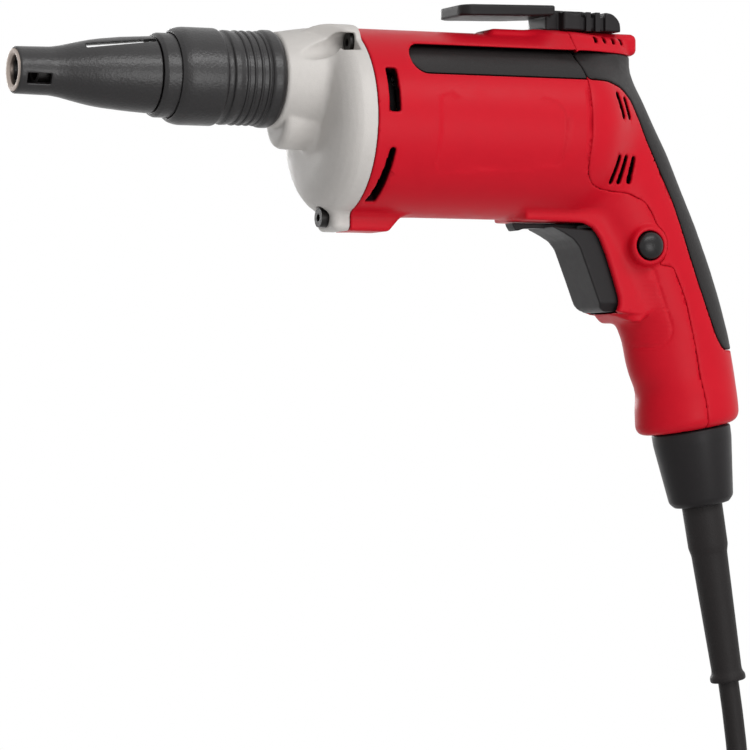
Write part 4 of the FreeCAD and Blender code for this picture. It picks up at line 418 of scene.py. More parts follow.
# Housing form: motor barrel with rounded end, handle, foot, ridge and the rim around the trigger.
# Handle as (height, value) rows: back and front edges as the photo's view shows them, and half width.
HANDLE_BACK = (
    (24, 118.5), (12.5, 118.6), (8.7, 118.4), (4.9, 119.4), (1.1, 121.2), (-2.7, 123.5), (-14, 129.2),
    (-24, 134.6), (-37, 140.3), (-51, 146.7), (-66, 152.7), (-79, 157.2), (-93, 161.2), (-106, 163.8),
    (-118, 165.6), (-128, 166.4), (-142, 167.0),
)
HANDLE_FRONT = (
    (24, 74), (-3, 74), (-14, 76), (-24, 80), (-37, 86), (-51, 93), (-66, 101), (-79, 107), (-86, 111.2),
    (-89, 113.7), (-95, 116.2), (-102.5, 117.6), (-109, 119.5), (-112, 121.2), (-115.5, 122.3),
    (-121, 121.7), (-127, 122.0), (-142, 122.6),
)
HANDLE_WIDE = (
    (24, 14.5), (12, 17.0), (5, 18.6), (-3, 19.9), (-14, 20.4), (-24, 20.4), (-37, 20.0), (-51, 19.3),
    (-66, 18.1), (-79, 17.3), (-93, 16.8), (-104, 16.4), (-110, 16.4), (-115, 17.5), (-120, 18.0),
    (-128, 17.8), (-142, 17.6),
)
VIEW_SLOPE = math.tan(math.radians(23.5))
CAP_LONG = 27.0
HANDLE_TOP, HANDLE_TOP_SOFT = 19.5, 3.0
HANDLE_BASE_SOFT, HANDLE_BLEND = 5.0, 9.0
NEAR_SHARE, LEAST_SLOPE = 0.95, 1e-4


def plain_form(f):
    """Barrel and handle, without the ridge."""
    radius = np.sqrt(f.y ** 2 + (f.z - MOTOR_Z) ** 2)
    cap = np.maximum(f.x - SEAM_X, 0.0) * (MOTOR_R / CAP_LONG)
    barrel = np.sqrt(cap ** 2 + radius ** 2) - MOTOR_R
    z = f.z[0, 0]
    back, front, wide = curve(z, HANDLE_BACK), curve(z, HANDLE_FRONT), curve(z, HANDLE_WIDE)
    deep = np.sqrt(((back - front) / 2) ** 2 - (wide * VIEW_SLOPE) ** 2)
    across = (f.x - ((back + front) / 2).astype(np.float32)) / deep.astype(np.float32)
    aside = f.y / wide.astype(np.float32)
    near = np.sqrt(across ** 2 + aside ** 2)
    slope = np.sqrt((across / deep) ** 2 + (aside / wide) ** 2)
    handle = NEAR_SHARE * near * (near - 1.0) / np.maximum(slope, LEAST_SLOPE)
    handle = smax(handle.astype(np.float32), f.z - HANDLE_TOP, HANDLE_TOP_SOFT)
    base = (f.x - BASE[0]) * DOWN[0] + (f.z - BASE[1]) * DOWN[1]
    handle = smax(handle, base, HANDLE_BASE_SOFT)
    return smin(barrel, handle, HANDLE_BLEND)


# Side outlines as (x, z) corners: trigger, its slot and the rim around it.
TRIGGER = (
    (80.8, -52.6), (86.3, -55.2), (90.1, -57.4), (92.6, -60.4), (94.3, -64.7), (97.3, -72.3), (100.2, -79.9),
    (101.6, -83.2), (104.0, -84.6), (112.0, -84.4), (113.2, -82.2), (112.6, -79.6), (110.2, -71.0),
    (107.2, -62.0), (105.6, -56.0), (103.0, -54.0), (96.0, -53.5),
)
SLOT = (
    (79.0, -53.0), (86.0, -56.0), (92.0, -61.0), (99.5, -80.5), (102.0, -84.95), (118.6, -84.95),
    (119.9, -82.2), (119.2, -79.0), (116.8, -71.0), (113.8, -62.0), (112.0, -55.0), (109.0, -53.0),
)
RIM = (
    (66.0, -44.0), (66.0, -49.2), (68.2, -50.6), (88.0, -50.9), (93.0, -51.1), (96.8, -52.8), (99.8, -56.6),
    (102.6, -63.0), (105.2, -70.5), (108.0, -79.2), (108.0, -82.4), (106.8, -85.0), (109.0, -86.0),
    (113.4, -88.2), (117.0, -88.4), (126.0, -80.0), (124.0, -60.0), (116.0, -46.0),
)
# The cover's side of the seam, round the button and down the handle.
SEAM = (
    (SEAM_X, 30), (SEAM_X, -29), (87.3, -34), (90.5, -37.5), (96, -38.8), (105.6, -39.6), (109.4, -40.0),
    (116.2, -43.1), (119.6, -47.9), (121.2, -51.6), (124.9, -54.8), (126.2, -59.6), (124.9, -64.4),
    (122.6, -66.6), (128.8, -67.4), (130.2, -70), (134.7, -79.9), (139.4, -98.9), (142.9, -117.9),
    (144.3, -127.4), (148, -150), (200, -150), (200, 30),
)
# Soft band along the barrel with its round front, and the soft spine that carries it on down the back.
BAND_R, BAND_LOW, BAND_FRONT, BAND_STEPS = 5.8, 1.6, 21.6, 15
BAND_HIGH = BAND_LOW + 2 * BAND_R
BAND = [(SEAM_X, BAND_LOW), (SEAM_X, BAND_HIGH)] + [
    (BAND_FRONT - BAND_R * math.cos(a), BAND_LOW + BAND_R + BAND_R * math.sin(a))
    for a in np.linspace(math.pi / 2, -math.pi / 2, BAND_STEPS)]
SPINE = (
    (SEAM_X, BAND_HIGH), (SEAM_X, BAND_LOW), (96, 1.4), (104, -0.6), (110, -5), (114.5, -12), (118.5, -21.5),
    (129.5, -43), (140, -71), (149.4, -94), (153, -98.4), (190, -98.4), (190, BAND_HIGH),
)
SCOOP_Z, SCOOP_DEEP = (BAND_LOW, 6.0, 10.0, BAND_HIGH), (0.0, 1.2, 2.8, 3.0)
SCOOP_END, SCOOP_FADE = 106.0, 18.0
# Lock button, its round boss and its bore.
BUTTON = (117.8, -59.6)
BUTTON_BOSS_R, BUTTON_BOSS_Y, BUTTON_BOSS_HALF = 7.6, -13.0, 8.0
BUTTON_BOSS_EDGE, BUTTON_BOSS_BLEND = 2.6, 2.0
BUTTON_BORE_R, BUTTON_BORE_Y, BUTTON_BORE_EDGE = 5.6, -14.0, 0.9
# Ribbed grip panel with a fine line around it, and the bare panel on the barrel.
PANEL = (
    (116.6, -67.8), (120.6, -67.8), (129.8, -91), (128.8, -95.4), (125, -97.8), (117.5, -98.2), (116.8, -88),
)
PANEL_SOFT, PANEL_LINE, PANEL_FROM, PANEL_DEEP, PANEL_FADE = 2.5, 0.35, 118.0, 0.3, 0.8
BARE = ((24.7, -6.2), (68.3, -6.2), (74.5, -9.4), (75.8, -14.2), (75.3, -31.3), (24.7, -34.5))
BARE_SOFT, BARE_DEEP = 3.0, 0.28
FINE_EDGE = 0.3
# Foot under the barrel's front, ridge under the belt clip, rim, and the lip under the trigger.
FOOT = ((-10, -55.8), (15.2, -55.8), (20.2, -50.2), (30, -44), (30, -30), (-10, -30))
FOOT_HALF, FOOT_SOFT, FOOT_EDGE, FOOT_BLEND = 8.4, 1.0, 1.2, 2.5
RIDGE_LOW, RIDGE_HIGH = (56.5, -9.0, 13.3), (118.4, 9.0, 21.6)
RIDGE_EDGE, RIDGE_BLEND = 2.4, 1.6
RIM_HALF, RIM_SOFT, RIM_EDGE, RIM_BLEND = 14.6, 0.8, 1.3, 1.8
LIP_FLAT, LIP_X, LIP_R, LIP_EDGE = 3.0, 119.0, 11.6, 1.0
LIP_Z, LIP_OPENING, LIP_OPEN = -85.7, 4.0, 40.0
# Openings: trigger slot, room for the lever, front vents, motor room, rear slits and slots in the ridge.
SLOT_SOFT, SLOT_HALF, SLOT_EDGE, SLOT_EASE = 0.5, 11.8, 0.3, 0.7
LEVER_ROOM_LOW, LEVER_ROOM_HIGH = (64.0, -SLOT_HALF, -53.8), (98.6, SLOT_HALF, -50.95)
LEVER_ROOM_SOFT, LEVER_ROOM_EASE = 0.2, 0.4
# Lower and upper angle, x at each, and half width at each.
VENTS = ((3, 32, 6.2, 6.4, 2.2, 2.2), (-62, -19, 3.6, 6.2, 2.1, 1.2))
VENT_CORNER, VENT_FLOOR_R = 1.0, 26.0
MOTOR_ROOM_X, MOTOR_ROOM_R = 84.0, 30.6
SLITS = (
    ((100.5, -3.4), (103.4, -11.6)), ((105.3, -4.9), (107.7, -11.4)), ((102.1, -26.9), (100.1, -35.8)),
    ((106.2, -26.7), (104.2, -35.7)), ((110.5, -26.9), (108.8, -35.5)),
)
SLIT_R, SLIT_Y = 1.05, 12.0
RIDGE_SLOTS = (96.8, 101.0, 105.6, 110.0)
RIDGE_SLOT_Z, RIDGE_SLOT_HALF_X, RIDGE_SLOT_HALF_Z, RIDGE_SLOT_Y = 18.0, 0.8, 1.3, 6.6


def scoop(f):
    """How far the soft band lies under the barrel: most near its upper edge, fading out behind the seam."""
    deep = np.interp(f.z[0, 0], SCOOP_Z, SCOOP_DEEP).astype(np.float32)
    fade = np.clip((SCOOP_END - f.x) / SCOOP_FADE, 0.0, 1.0)
    return deep[None, None, :] * fade


def rod(f, a, b, radius):
    """Distance to a round-ended slit in the XZ plane."""
    ex, ez = b[0] - a[0], b[1] - a[1]
    t = np.clip(((f.x - a[0]) * ex + (f.z - a[1]) * ez) / (ex * ex + ez * ez), 0, 1)
    return np.sqrt((f.x - a[0] - ex * t) ** 2 + (f.z - a[1] - ez * t) ** 2) - radius


def vent(f, low, high, x_low, x_high, half_low, half_high):
    """Distance to a slot around the barrel between two angles, which may lean and widen on its way."""
    angle = np.degrees(np.arctan2(f.z - MOTOR_Z, np.abs(f.y) + HAIR))
    share = np.clip((angle - low) / (high - low), 0.0, 1.0)
    half = half_low + (half_high - half_low) * share
    a = np.abs(f.x - x_low - (x_high - x_low) * share) - half + VENT_CORNER
    b = (np.abs(angle - (low + high) / 2) - (high - low) / 2) * (math.pi / 180 * MOTOR_R) + VENT_CORNER
    outside = np.sqrt(np.maximum(a, 0) ** 2 + np.maximum(b, 0) ** 2)
    return outside + np.minimum(np.maximum(a, b), 0) - VENT_CORNER


def red_form(f):
    """Everything moulded in red: the form with foot, ridge, rim and boss, and the same with its openings."""
    form = plain_form(f)
    radius = np.sqrt(f.y ** 2 + (f.z - MOTOR_Z) ** 2)
    foot = plate(side(f, FOOT, FOOT_SOFT), FOOT_HALF, f.y, FOOT_EDGE)
    form = smin(form, foot, FOOT_BLEND)
    form = smin(form, box(f, RIDGE_LOW, RIDGE_HIGH, RIDGE_EDGE), RIDGE_BLEND)
    rim = plate(side(f, RIM, RIM_SOFT), RIM_HALF, f.y, RIM_EDGE)
    lip = np.sqrt(np.maximum(np.abs(f.y) - LIP_FLAT, 0) ** 2 + np.maximum(LIP_X - f.x, 0) ** 2) - LIP_R
    lip = lip - np.clip((f.z - LIP_Z) * LIP_OPENING, 0.0, LIP_OPEN)
    form = smin(form, smax(rim, lip, LIP_EDGE), RIM_BLEND)
    around = np.sqrt((f.x - BUTTON[0]) ** 2 + (f.z - BUTTON[1]) ** 2)
    boss = smax(around - BUTTON_BOSS_R, np.abs(f.y - BUTTON_BOSS_Y) - BUTTON_BOSS_HALF, BUTTON_BOSS_EDGE)
    form = smin(form, boss, BUTTON_BOSS_BLEND)
    # The shallow bare panel on the barrel, and the fine line around the grip panel.
    bare = smax(side(f, BARE, BARE_SOFT), MOTOR_R - BARE_DEEP - radius, FINE_EDGE)
    form = minus(form, bare, FINE_EDGE)
    line = np.maximum(np.abs(side(f, PANEL, PANEL_SOFT)) - PANEL_LINE, PANEL_FROM - f.x)
    form = minus(form, np.maximum(line, np.maximum(-form - PANEL_DEEP, f.y)), FINE_EDGE)
    cut = minus(form, plate(side(f, SLOT, SLOT_SOFT), SLOT_HALF, f.y, SLOT_EDGE), SLOT_EASE)
    cut = minus(cut, box(f, LEVER_ROOM_LOW, LEVER_ROOM_HIGH, LEVER_ROOM_SOFT), LEVER_ROOM_EASE)
    cut = minus(cut, np.maximum(around - BUTTON_BORE_R, f.y - BUTTON_BORE_Y), BUTTON_BORE_EDGE)
    for sizes in VENTS:
        cut = minus(cut, np.maximum(vent(f, *sizes), VENT_FLOOR_R - radius), FINE_EDGE)
    cut = np.maximum(cut, -np.maximum(f.x - MOTOR_ROOM_X, radius - MOTOR_ROOM_R))
    for a, b in SLITS:
        cut = minus(cut, np.maximum(rod(f, a, b, SLIT_R), SLIT_Y - np.abs(f.y)), FINE_EDGE)
    for x in RIDGE_SLOTS:
        slot = np.maximum(np.abs(f.x - x) - RIDGE_SLOT_HALF_X, np.abs(f.z - RIDGE_SLOT_Z) - RIDGE_SLOT_HALF_Z)
        cut = minus(cut, np.maximum(slot, RIDGE_SLOT_Y - np.abs(f.y)), FINE_EDGE)
    return form, cut


# The seam's edges are eased by little on the barrel and more on the handle.
SEAM_EASE_Z, SEAM_EASE = (-34.0, -28.0), (0.12, 0.04)
# Seats of the soft pieces: play all round, edge and depth; and the soft pieces: stand, edge and depth.
SEAT_PLAY, SEAT_EDGE, SEAT_DEEP = 0.12, 0.4, 3.9
SPINE_PROUD, PADS_PROUD, SOFT_EDGE, SOFT_DEEP, PADS_Y = 0.15, 0.1, 0.8, 3.8, 12.0
# Play on each side of the joint between housing and gear case.
HOUSING_PLAY, CASE_PLAY, JOINT_EDGE = 0.10, 0.05, 0.5
# Grids: their low and high corners and their step.
HOUSING_GRID = ((-3.0, -37.0, -134.0), (152.0, 37.0, 24.5), 0.62)
COVER_GRID = ((84.0, -37.0, -136.0), (169.0, 37.0, 24.5), 0.62)
PADS_GRID = ((13.0, -37.0, -2.0), (88.0, 37.0, 17.0), 0.5)


def seam_edge(f):
    """How far the edges along the seam are eased."""
    return np.interp(f.z[0, 0], SEAM_EASE_Z, SEAM_EASE).astype(np.float32)[None, None, :]


def groove(form, region):
    """The seat that a soft piece leaves in a form."""
    return minus(form, np.maximum(region - SEAT_PLAY, -form - SEAT_DEEP), SEAT_EDGE)


f = Field(*HOUSING_GRID)
form, cut = red_form(f)
housing = groove(cut, np.broadcast_to(side(f, BAND, 0.0), f.shape))
housing = smax(housing, -side(f, SEAM), seam_edge(f))
housing = smax(housing, JOINT_X + HOUSING_PLAY - f.x, JOINT_EDGE)
# The housing's points under its outer form are marked for painted shade.
housing_look = skin("housing_look", f, housing, outer=form)
co = np.array([v.co for v in housing_look.data.vertices]) * MM + GRIP
inside = signed(co[:, 0], co[:, 2], eased(PANEL, PANEL_SOFT))
mask = housing_look.data.attributes.new("grip_panel", "FLOAT", "POINT")
mask.data.foreach_set("value", np.clip(-inside / PANEL_FADE, 0.0, 1.0).astype(np.float32))
place(housing_look, RED, "tool", "red_plastic", "motor_housing")

f = Field(*COVER_GRID)
form, cut = red_form(f)
cover = groove(cut, np.broadcast_to(side(f, SPINE), f.shape))
cover = smax(cover, side(f, SEAM), seam_edge(f))
# The cover's points under its outer form are marked for painted shade.
place(skin("cover_look", f, cover, outer=form), RED, "tool", "red_plastic", "handle_cover")
plain = plain_form(f)
spine = smax(plain - SPINE_PROUD + scoop(f), side(f, SPINE) + SEAT_PLAY, SOFT_EDGE)
spine = np.maximum(spine, -plain - SOFT_DEEP)
place(skin("rear_grip_look", f, spine), SOFT_BLACK, "tool", "soft_rubber", "rear_grip")

f = Field(*PADS_GRID)
plain = plain_form(f)
pads = smax(plain - PADS_PROUD + scoop(f), side(f, BAND, 0.0) + SEAT_PLAY, SOFT_EDGE)
pads = np.maximum(np.maximum(pads, -plain - SOFT_DEEP), PADS_Y - np.abs(f.y))
place(skin("front_pads_look", f, pads), SOFT_BLACK, "tool", "soft_rubber", "front_grip_pads")

# Gear case: spindle tube, pinion bulge, motor bowl, foot and screw bosses; profiles as (x, radius) corners.
CASE_GRID = ((-31.0, -37.0, -58.0), (9.5, 37.0, 25.0), 0.46)
TUBE = (
    (-29.0, 0), (-29.0, 16.6), (-28.2, 17.5), (-23.3, 18.4), (-17.3, 19.2), (-10.0, 20.0), (2.0, 20.2),
    (2.0, 0),
)
BULGE = ((-27.2, 0), (-27.2, 11.4), (-10.0, 11.4), (-10.0, 0))
BULGE_Z, BULGE_SOFT, BULGE_BLEND = -14.4, 3.4, 0.9
BOWL = (
    (-14.0, 0), (-14.0, 9.1), (-13.9, 20.0), (-13.3, 25.0), (-12.2, 28.6), (-10.6, 31.4), (-8.6, 33.5),
    (-6.4, 34.7), (-3.8, 35.0), (2.0, 35.0), (2.0, 0),
)
BOWL_SOFT, BOWL_BLEND = 0.8, 2.6
CASE_FOOT_LOW, CASE_FOOT_HIGH = (-7.4, -8.4, -55.8), (4.0, 8.4, -40.0)
CASE_FOOT_EDGE, CASE_FOOT_BLEND = 2.4, 2.0
# Upper bosses: place on each side, radius, slant of the front (its slope, start, front and length), and back.
BOSS_Y, BOSS_Z, BOSS_R = 12.8, 13.2, 6.9
SLANT_SLOPE, SLANT_Y, SLANT_X, SLANT_LENGTH, SLANT_EDGE = 1.35, 9.0, -18.0, 1.68, 0.9
BOSS_BACK, BOSS_BACK_SOFT, BOSS_BLEND = 1.5, 5.0, 0.8
# Each upper screw lies in a leaning channel that opens to the front and, at its head, to the side.
CHANNEL_X, CHANNEL_LONG, CHANNEL_R, CHANNEL_BACK, CHANNEL_EASE = -4.0, 19.0, 4.3, -1.4, 0.5
CHANNEL_Y, CHANNEL_IN, CHANNEL_Z, CHANNEL_UP = 14.0, 6.3, 13.3, 3.7
SIDE_X, SIDE_HALF_X, SIDE_Y, SIDE_Z, SIDE_HALF_Z = -6.1, 2.9, 14.0, 13.2, 3.4
# The lower screw's notch in the foot, the spindle bore with its wider back, and the room for the gears.
NOTCH_Z, NOTCH_R, NOTCH_X, NOTCH_EASE = -50.8, 4.3, -7.0, 0.6
BORE_R, WIDE_BORE_R, WIDE_BORE_X = 8.6, 14.2, -23.4
GEAR_ROOM = (
    (-20.2, 0), (-20.2, 5.0), (-10.8, 5.0), (-10.8, 14.0), (-5.0, 24.0), (-5.0, 27.4), (3.0, 27.4), (3.0, 0),
)
# The spindle axis, and the tube in front of the case.
SPINDLE = ((0, 0, 0), (1, 0, 0))
SNOUT = ((-66.0, 8.6), (-66.0, 12.0), (-41.5, 12.0), (-41.5, 14.0), (-28.0, 14.0), (-28.0, 8.6))


def bosses(f):
    """The two upper screw bosses of the gear case, their fronts slanting back to the side."""
    out = np.abs(f.y)
    reach = np.sqrt((out - BOSS_Y) ** 2 + (f.z - BOSS_Z) ** 2) - BOSS_R
    slant = (SLANT_SLOPE * (out - SLANT_Y) + SLANT_X - f.x) / SLANT_LENGTH
    return smax(smax(reach, slant, SLANT_EDGE), f.x - BOSS_BACK, BOSS_BACK_SOFT)


f = Field(*CASE_GRID)
case = smin(turned(f, TUBE, 0.0), turned(f, BULGE, BULGE_Z, BULGE_SOFT), BULGE_BLEND)
case = smin(case, turned(f, BOWL, MOTOR_Z, BOWL_SOFT), BOWL_BLEND)
case = smin(case, box(f, CASE_FOOT_LOW, CASE_FOOT_HIGH, CASE_FOOT_EDGE), CASE_FOOT_BLEND)
case = smin(case, bosses(f), BOSS_BLEND)
case = smax(case, f.x - JOINT_X + CASE_PLAY, JOINT_EDGE)
out = np.abs(f.y)
t = (f.x - CHANNEL_X) / CHANNEL_LONG
channel = (out - CHANNEL_Y + CHANNEL_IN * t) ** 2 + (f.z - CHANNEL_Z - CHANNEL_UP * t) ** 2
channel = np.sqrt(channel) - CHANNEL_R
opened = np.maximum(np.abs(f.z - SIDE_Z) - SIDE_HALF_Z, SIDE_Y - out)
opened = np.maximum(opened, np.abs(f.x - SIDE_X) - SIDE_HALF_X)
case = minus(case, np.maximum(np.minimum(channel, opened), f.x - CHANNEL_BACK), CHANNEL_EASE)
notch = np.sqrt(f.y ** 2 + (f.z - NOTCH_Z) ** 2) - NOTCH_R
case = minus(case, np.maximum(notch, f.x - NOTCH_X), NOTCH_EASE)
bore = np.sqrt(f.y ** 2 + f.z ** 2)
case = np.maximum(case, BORE_R - bore)
case = np.maximum(case, -np.maximum(bore - WIDE_BORE_R, WIDE_BORE_X - f.x))
case = np.maximum(case, -turned(f, GEAR_ROOM, MOTOR_Z))
case_look = place(skin("gear_case_look", f, case), CAST, "tool", "cast_aluminium")
place(lathe("snout_look", SNOUT, *SPINDLE), CAST, "tool", "cast_aluminium", "gear_case")
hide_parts("gear_case")

# Trigger with a flat front, sharp side facets, a cut lower corner and its round stem.
TRIGGER_GRID = ((76.0, -14.0, -88.0), (130.5, 14.0, -49.0), 0.36)
TRIGGER_HALF, TRIGGER_SOFT, TRIGGER_EDGE = 11.5, 1.0, 0.6
CORNER_Z, CORNER_SLOPE, CORNER_LENGTH, CORNER_EDGE = -81.4, 0.9, 1.35, 0.5
STEM_X, STEM_HALF, STEM_Z, STEM_R = 117.0, 12.0, -68.9, 3.0
f = Field(*TRIGGER_GRID)
body = plate(side(f, TRIGGER, TRIGGER_SOFT), TRIGGER_HALF, f.y, TRIGGER_EDGE)
corner = (np.abs(f.y) - TRIGGER_HALF - (f.z - CORNER_Z) * CORNER_SLOPE) / CORNER_LENGTH
body = smax(body, corner, CORNER_EDGE)
stem = np.sqrt(f.y ** 2 + (f.z - STEM_Z) ** 2) - STEM_R
body = np.minimum(body, np.maximum(stem, np.abs(f.x - STEM_X) - STEM_HALF))
place(skin("trigger_look", f, body), PLAIN_BLACK, "trigger", "black_plastic", "trigger")

# Reversing lever: a flat bar with a hooked tab in front and its pivot pin.
LEVER_GRID = ((66.5, -4.6, -55.5), (97.0, 4.6, -45.0), 0.22)
LEVER = (
    (68.0, -51.2), (68.5, -52.4), (69.6, -54.1), (70.6, -54.1), (73.4, -53.2), (76.4, -53.1), (95.4, -53.1),
    (95.4, -51.2),
)
LEVER_HALF, LEVER_SOFT = 3.4, 0.4
PIN_X, PIN_R, PIN_Z, PIN_HALF = 92.0, 2.6, -49.0, 3.0
f = Field(*LEVER_GRID)
lever = plate(side(f, LEVER, LEVER_SOFT), LEVER_HALF, f.y, LEVER_SOFT)
pin = np.sqrt((f.x - PIN_X) ** 2 + f.y ** 2) - PIN_R
lever = np.minimum(lever, np.maximum(pin, np.abs(f.z - PIN_Z) - PIN_HALF))
place(skin("lever_look", f, lever), PLAIN_BLACK, "lever", "black_plastic", "reversing_lever")

# Belt clip: arm with round front corners, recessed post, and a base with a round heel and a sunk ribbed back.
CLIP_GRID = ((41.0, -15.0, 19.0), (113.0, 15.0, 33.5), 0.4)
ARM = ((43.4, 25.6), (43.4, 29.9), (82.0, 30.9), (82.0, 27.2), (70.0, 26.4))
CLIP_HALF, CLIP_SOFT, CLIP_BLEND = 12.5, 0.9, 0.4
ARM_CORNER_X, ARM_CORNER_Y, ARM_CORNER_R, ARM_CORNER_EDGE = 48.9, 7.0, 5.5, 1.2
POST_LOW, POST_HIGH, POST_SOFT = (80.0, -8.0, 21.7), (88.0, 8.0, 29.4), 0.5
CLIP_BASE = ((85.4, 21.7), (109.6, 21.7), (109.6, 29.0), (85.4, 29.0))
HEEL_X, HEEL_Z, HEEL_R, HEEL_EDGE = 103.1, 22.5, 6.5, 0.5
SUNK_LOW, SUNK_HIGH, SUNK_SOFT, SUNK_EASE = (92.8, -20.0, 20.0), (102.8, 20.0, 40.0), 0.1, 0.3
KEPT_LOW, KEPT_HIGH, KEPT_SOFT = (90.0, -10.9, 21.7), (107.0, 10.9, 27.0), 0.4
f = Field(*CLIP_GRID)
arm = plate(side(f, ARM, CLIP_SOFT), CLIP_HALF, f.y, CLIP_SOFT)
corner = np.maximum(np.abs(f.y) - ARM_CORNER_Y, 0) ** 2 + np.maximum(ARM_CORNER_X - f.x, 0) ** 2
arm = smax(arm, np.sqrt(corner) - ARM_CORNER_R, ARM_CORNER_EDGE)
base = plate(side(f, CLIP_BASE, 0.0), CLIP_HALF, f.y, CLIP_SOFT)
heel = np.sqrt(np.maximum(f.x - HEEL_X, 0) ** 2 + np.maximum(f.z - HEEL_Z, 0) ** 2) - HEEL_R
base = smax(base, np.broadcast_to(heel, base.shape), HEEL_EDGE)
kept = box(f, KEPT_LOW, KEPT_HIGH, KEPT_SOFT)
base = minus(base, np.maximum(box(f, SUNK_LOW, SUNK_HIGH, SUNK_SOFT), -kept), SUNK_EASE)
clip = smin(np.minimum(arm, box(f, POST_LOW, POST_HIGH, POST_SOFT)), base, CLIP_BLEND)
place(skin("belt_clip_look", f, clip), PLAIN_BLACK, "tool", "black_plastic", "belt_clip")


def tree_of(name, sizes):
    """A geometry tree with named inputs for its sizes, and its input node."""
    tree = bpy.data.node_groups.new(name, "GeometryNodeTree")
    for key, kind in sizes.items():
        tree.interface.new_socket(name=key, in_out="INPUT", socket_type=kind)
    tree.interface.new_socket(name="Geometry", in_out="OUTPUT", socket_type="NodeSocketGeometry")
    return tree, tree.nodes.new("NodeGroupInput")


def in_a_row(tree, given, piece, turn, look):
    """Ends a tree: copies of a piece along X from the first place, made real and given a material."""
    step = add(tree, "ShaderNodeCombineXYZ", {"X": given.outputs["Pitch"]})
    line = add(tree, "GeometryNodeMeshLine", {
        "Count": given.outputs["Count"], "Start Location": given.outputs["First"],
        "Offset": step.outputs["Vector"]})
    copies = add(tree, "GeometryNodeInstanceOnPoints", {
        "Points": line.outputs["Mesh"], "Instance": piece, "Rotation": turn})
    solid = add(tree, "GeometryNodeRealizeInstances", {"Geometry": copies.outputs["Instances"]})
    dressed = add(tree, "GeometryNodeSetMaterial", {"Geometry": solid.outputs["Geometry"], "Material": look})
    out = tree.nodes.new("NodeGroupOutput")
    tree.links.new(dressed.outputs["Geometry"], out.inputs["Geometry"])


def grown(name, tree, sizes):
    """A plain mesh object from a tree, its inputs set by their identifiers."""
    obj = bpy.data.objects.new(name, bpy.data.meshes.new(name))
    bpy.context.scene.collection.objects.link(obj)
    maker = obj.modifiers.new("maker", "NODES")
    maker.node_group = tree
    for item in tree.interface.items_tree:
        if item.in_out == "INPUT":
            maker[item.identifier] = sizes[item.name]
    mesh = bpy.data.meshes.new_from_object(obj.evaluated_get(bpy.context.evaluated_depsgraph_get()))
    obj.modifiers.remove(maker)
    obj.data = mesh
    return obj


# Ribs across the back of the belt clip; sizes here are in metres.
PLACES = {"Count": "NodeSocketInt", "Pitch": "NodeSocketFloat", "First": "NodeSocketVector"}
CLIP_RIBS = {
    "Count": 2, "Pitch": 0.0039, "First": row((95.85, 0.0, 25.2)).tolist(),
    "Rib size": (0.0019, 0.0246, 0.0072),
}
tree, given = tree_of("clip_ribs", {**PLACES, "Rib size": "NodeSocketVector"})
bar = add(tree, "GeometryNodeMeshCube", {"Size": given.outputs["Rib size"]})
in_a_row(tree, given, bar.outputs["Mesh"], (0.0, 0.0, 0.0), PLAIN_BLACK)
place(grown("belt_clip_ribs", tree, CLIP_RIBS), PLAIN_BLACK, "tool", "black_plastic")

# Rounded rings around the waist of the adjusting collar; sizes here are in metres.
COLLAR_RIBS = {
    "Count": 4, "Pitch": 0.00285, "First": row((-44.3, 0.0, 0.0)).tolist(), "Ring radius": 0.01695,
    "Rib radius": 0.0006,
}
RING_STEPS, RIB_STEPS = 128, 12
tree, given = tree_of("collar_ribs", {
    **PLACES, "Ring radius": "NodeSocketFloat", "Rib radius": "NodeSocketFloat"})
hoop = add(tree, "GeometryNodeCurvePrimitiveCircle", {
    "Resolution": RING_STEPS, "Radius": given.outputs["Ring radius"]})
section = add(tree, "GeometryNodeCurvePrimitiveCircle", {
    "Resolution": RIB_STEPS, "Radius": given.outputs["Rib radius"]})
ring = add(tree, "GeometryNodeCurveToMesh", {
    "Curve": hoop.outputs["Curve"], "Profile Curve": section.outputs["Curve"]})
smooth = add(tree, "GeometryNodeSetShadeSmooth", {"Geometry": ring.outputs["Mesh"]})
in_a_row(tree, given, smooth.outputs["Geometry"], (0.0, math.pi / 2, 0.0), GLASS_BLACK)
place(grown("collar_ribs", tree, COLLAR_RIBS), GLASS_BLACK, "collar", "black_plastic")

# Nosepiece with a window on the seen side and the long slot through the cone.
NOSE_GRID = ((-131.0, -15.5, -15.5), (-69.0, 15.5, 15.5), 0.36)
NOSE = (
    (-129.2, 8.1), (-128.6, 8.6), (-115.3, 8.85), (-111.5, 9.45), (-107.5, 10.4), (-103.7, 11.25),
    (-99.8, 12.05), (-96.0, 12.6), (-88.2, 13.45), (-80.5, 14.0), (-76.5, 14.1), (-76.5, 12.9),
    (-70.5, 12.9), (-70.5, 10.8), (-80.0, 11.4), (-100.0, 9.7), (-107.5, 8.2), (-113.0, 6.6), (-127.0, 6.6),
    (-127.0, 7.9), (-129.2, 7.9),
)
NOSE_SOFT = 0.3
WINDOW_TURN = math.radians(25)
WINDOW_X, WINDOW_HALF_X, WINDOW_HALF, WINDOW_EASE = -121.65, 4.55, 2.0, 0.4
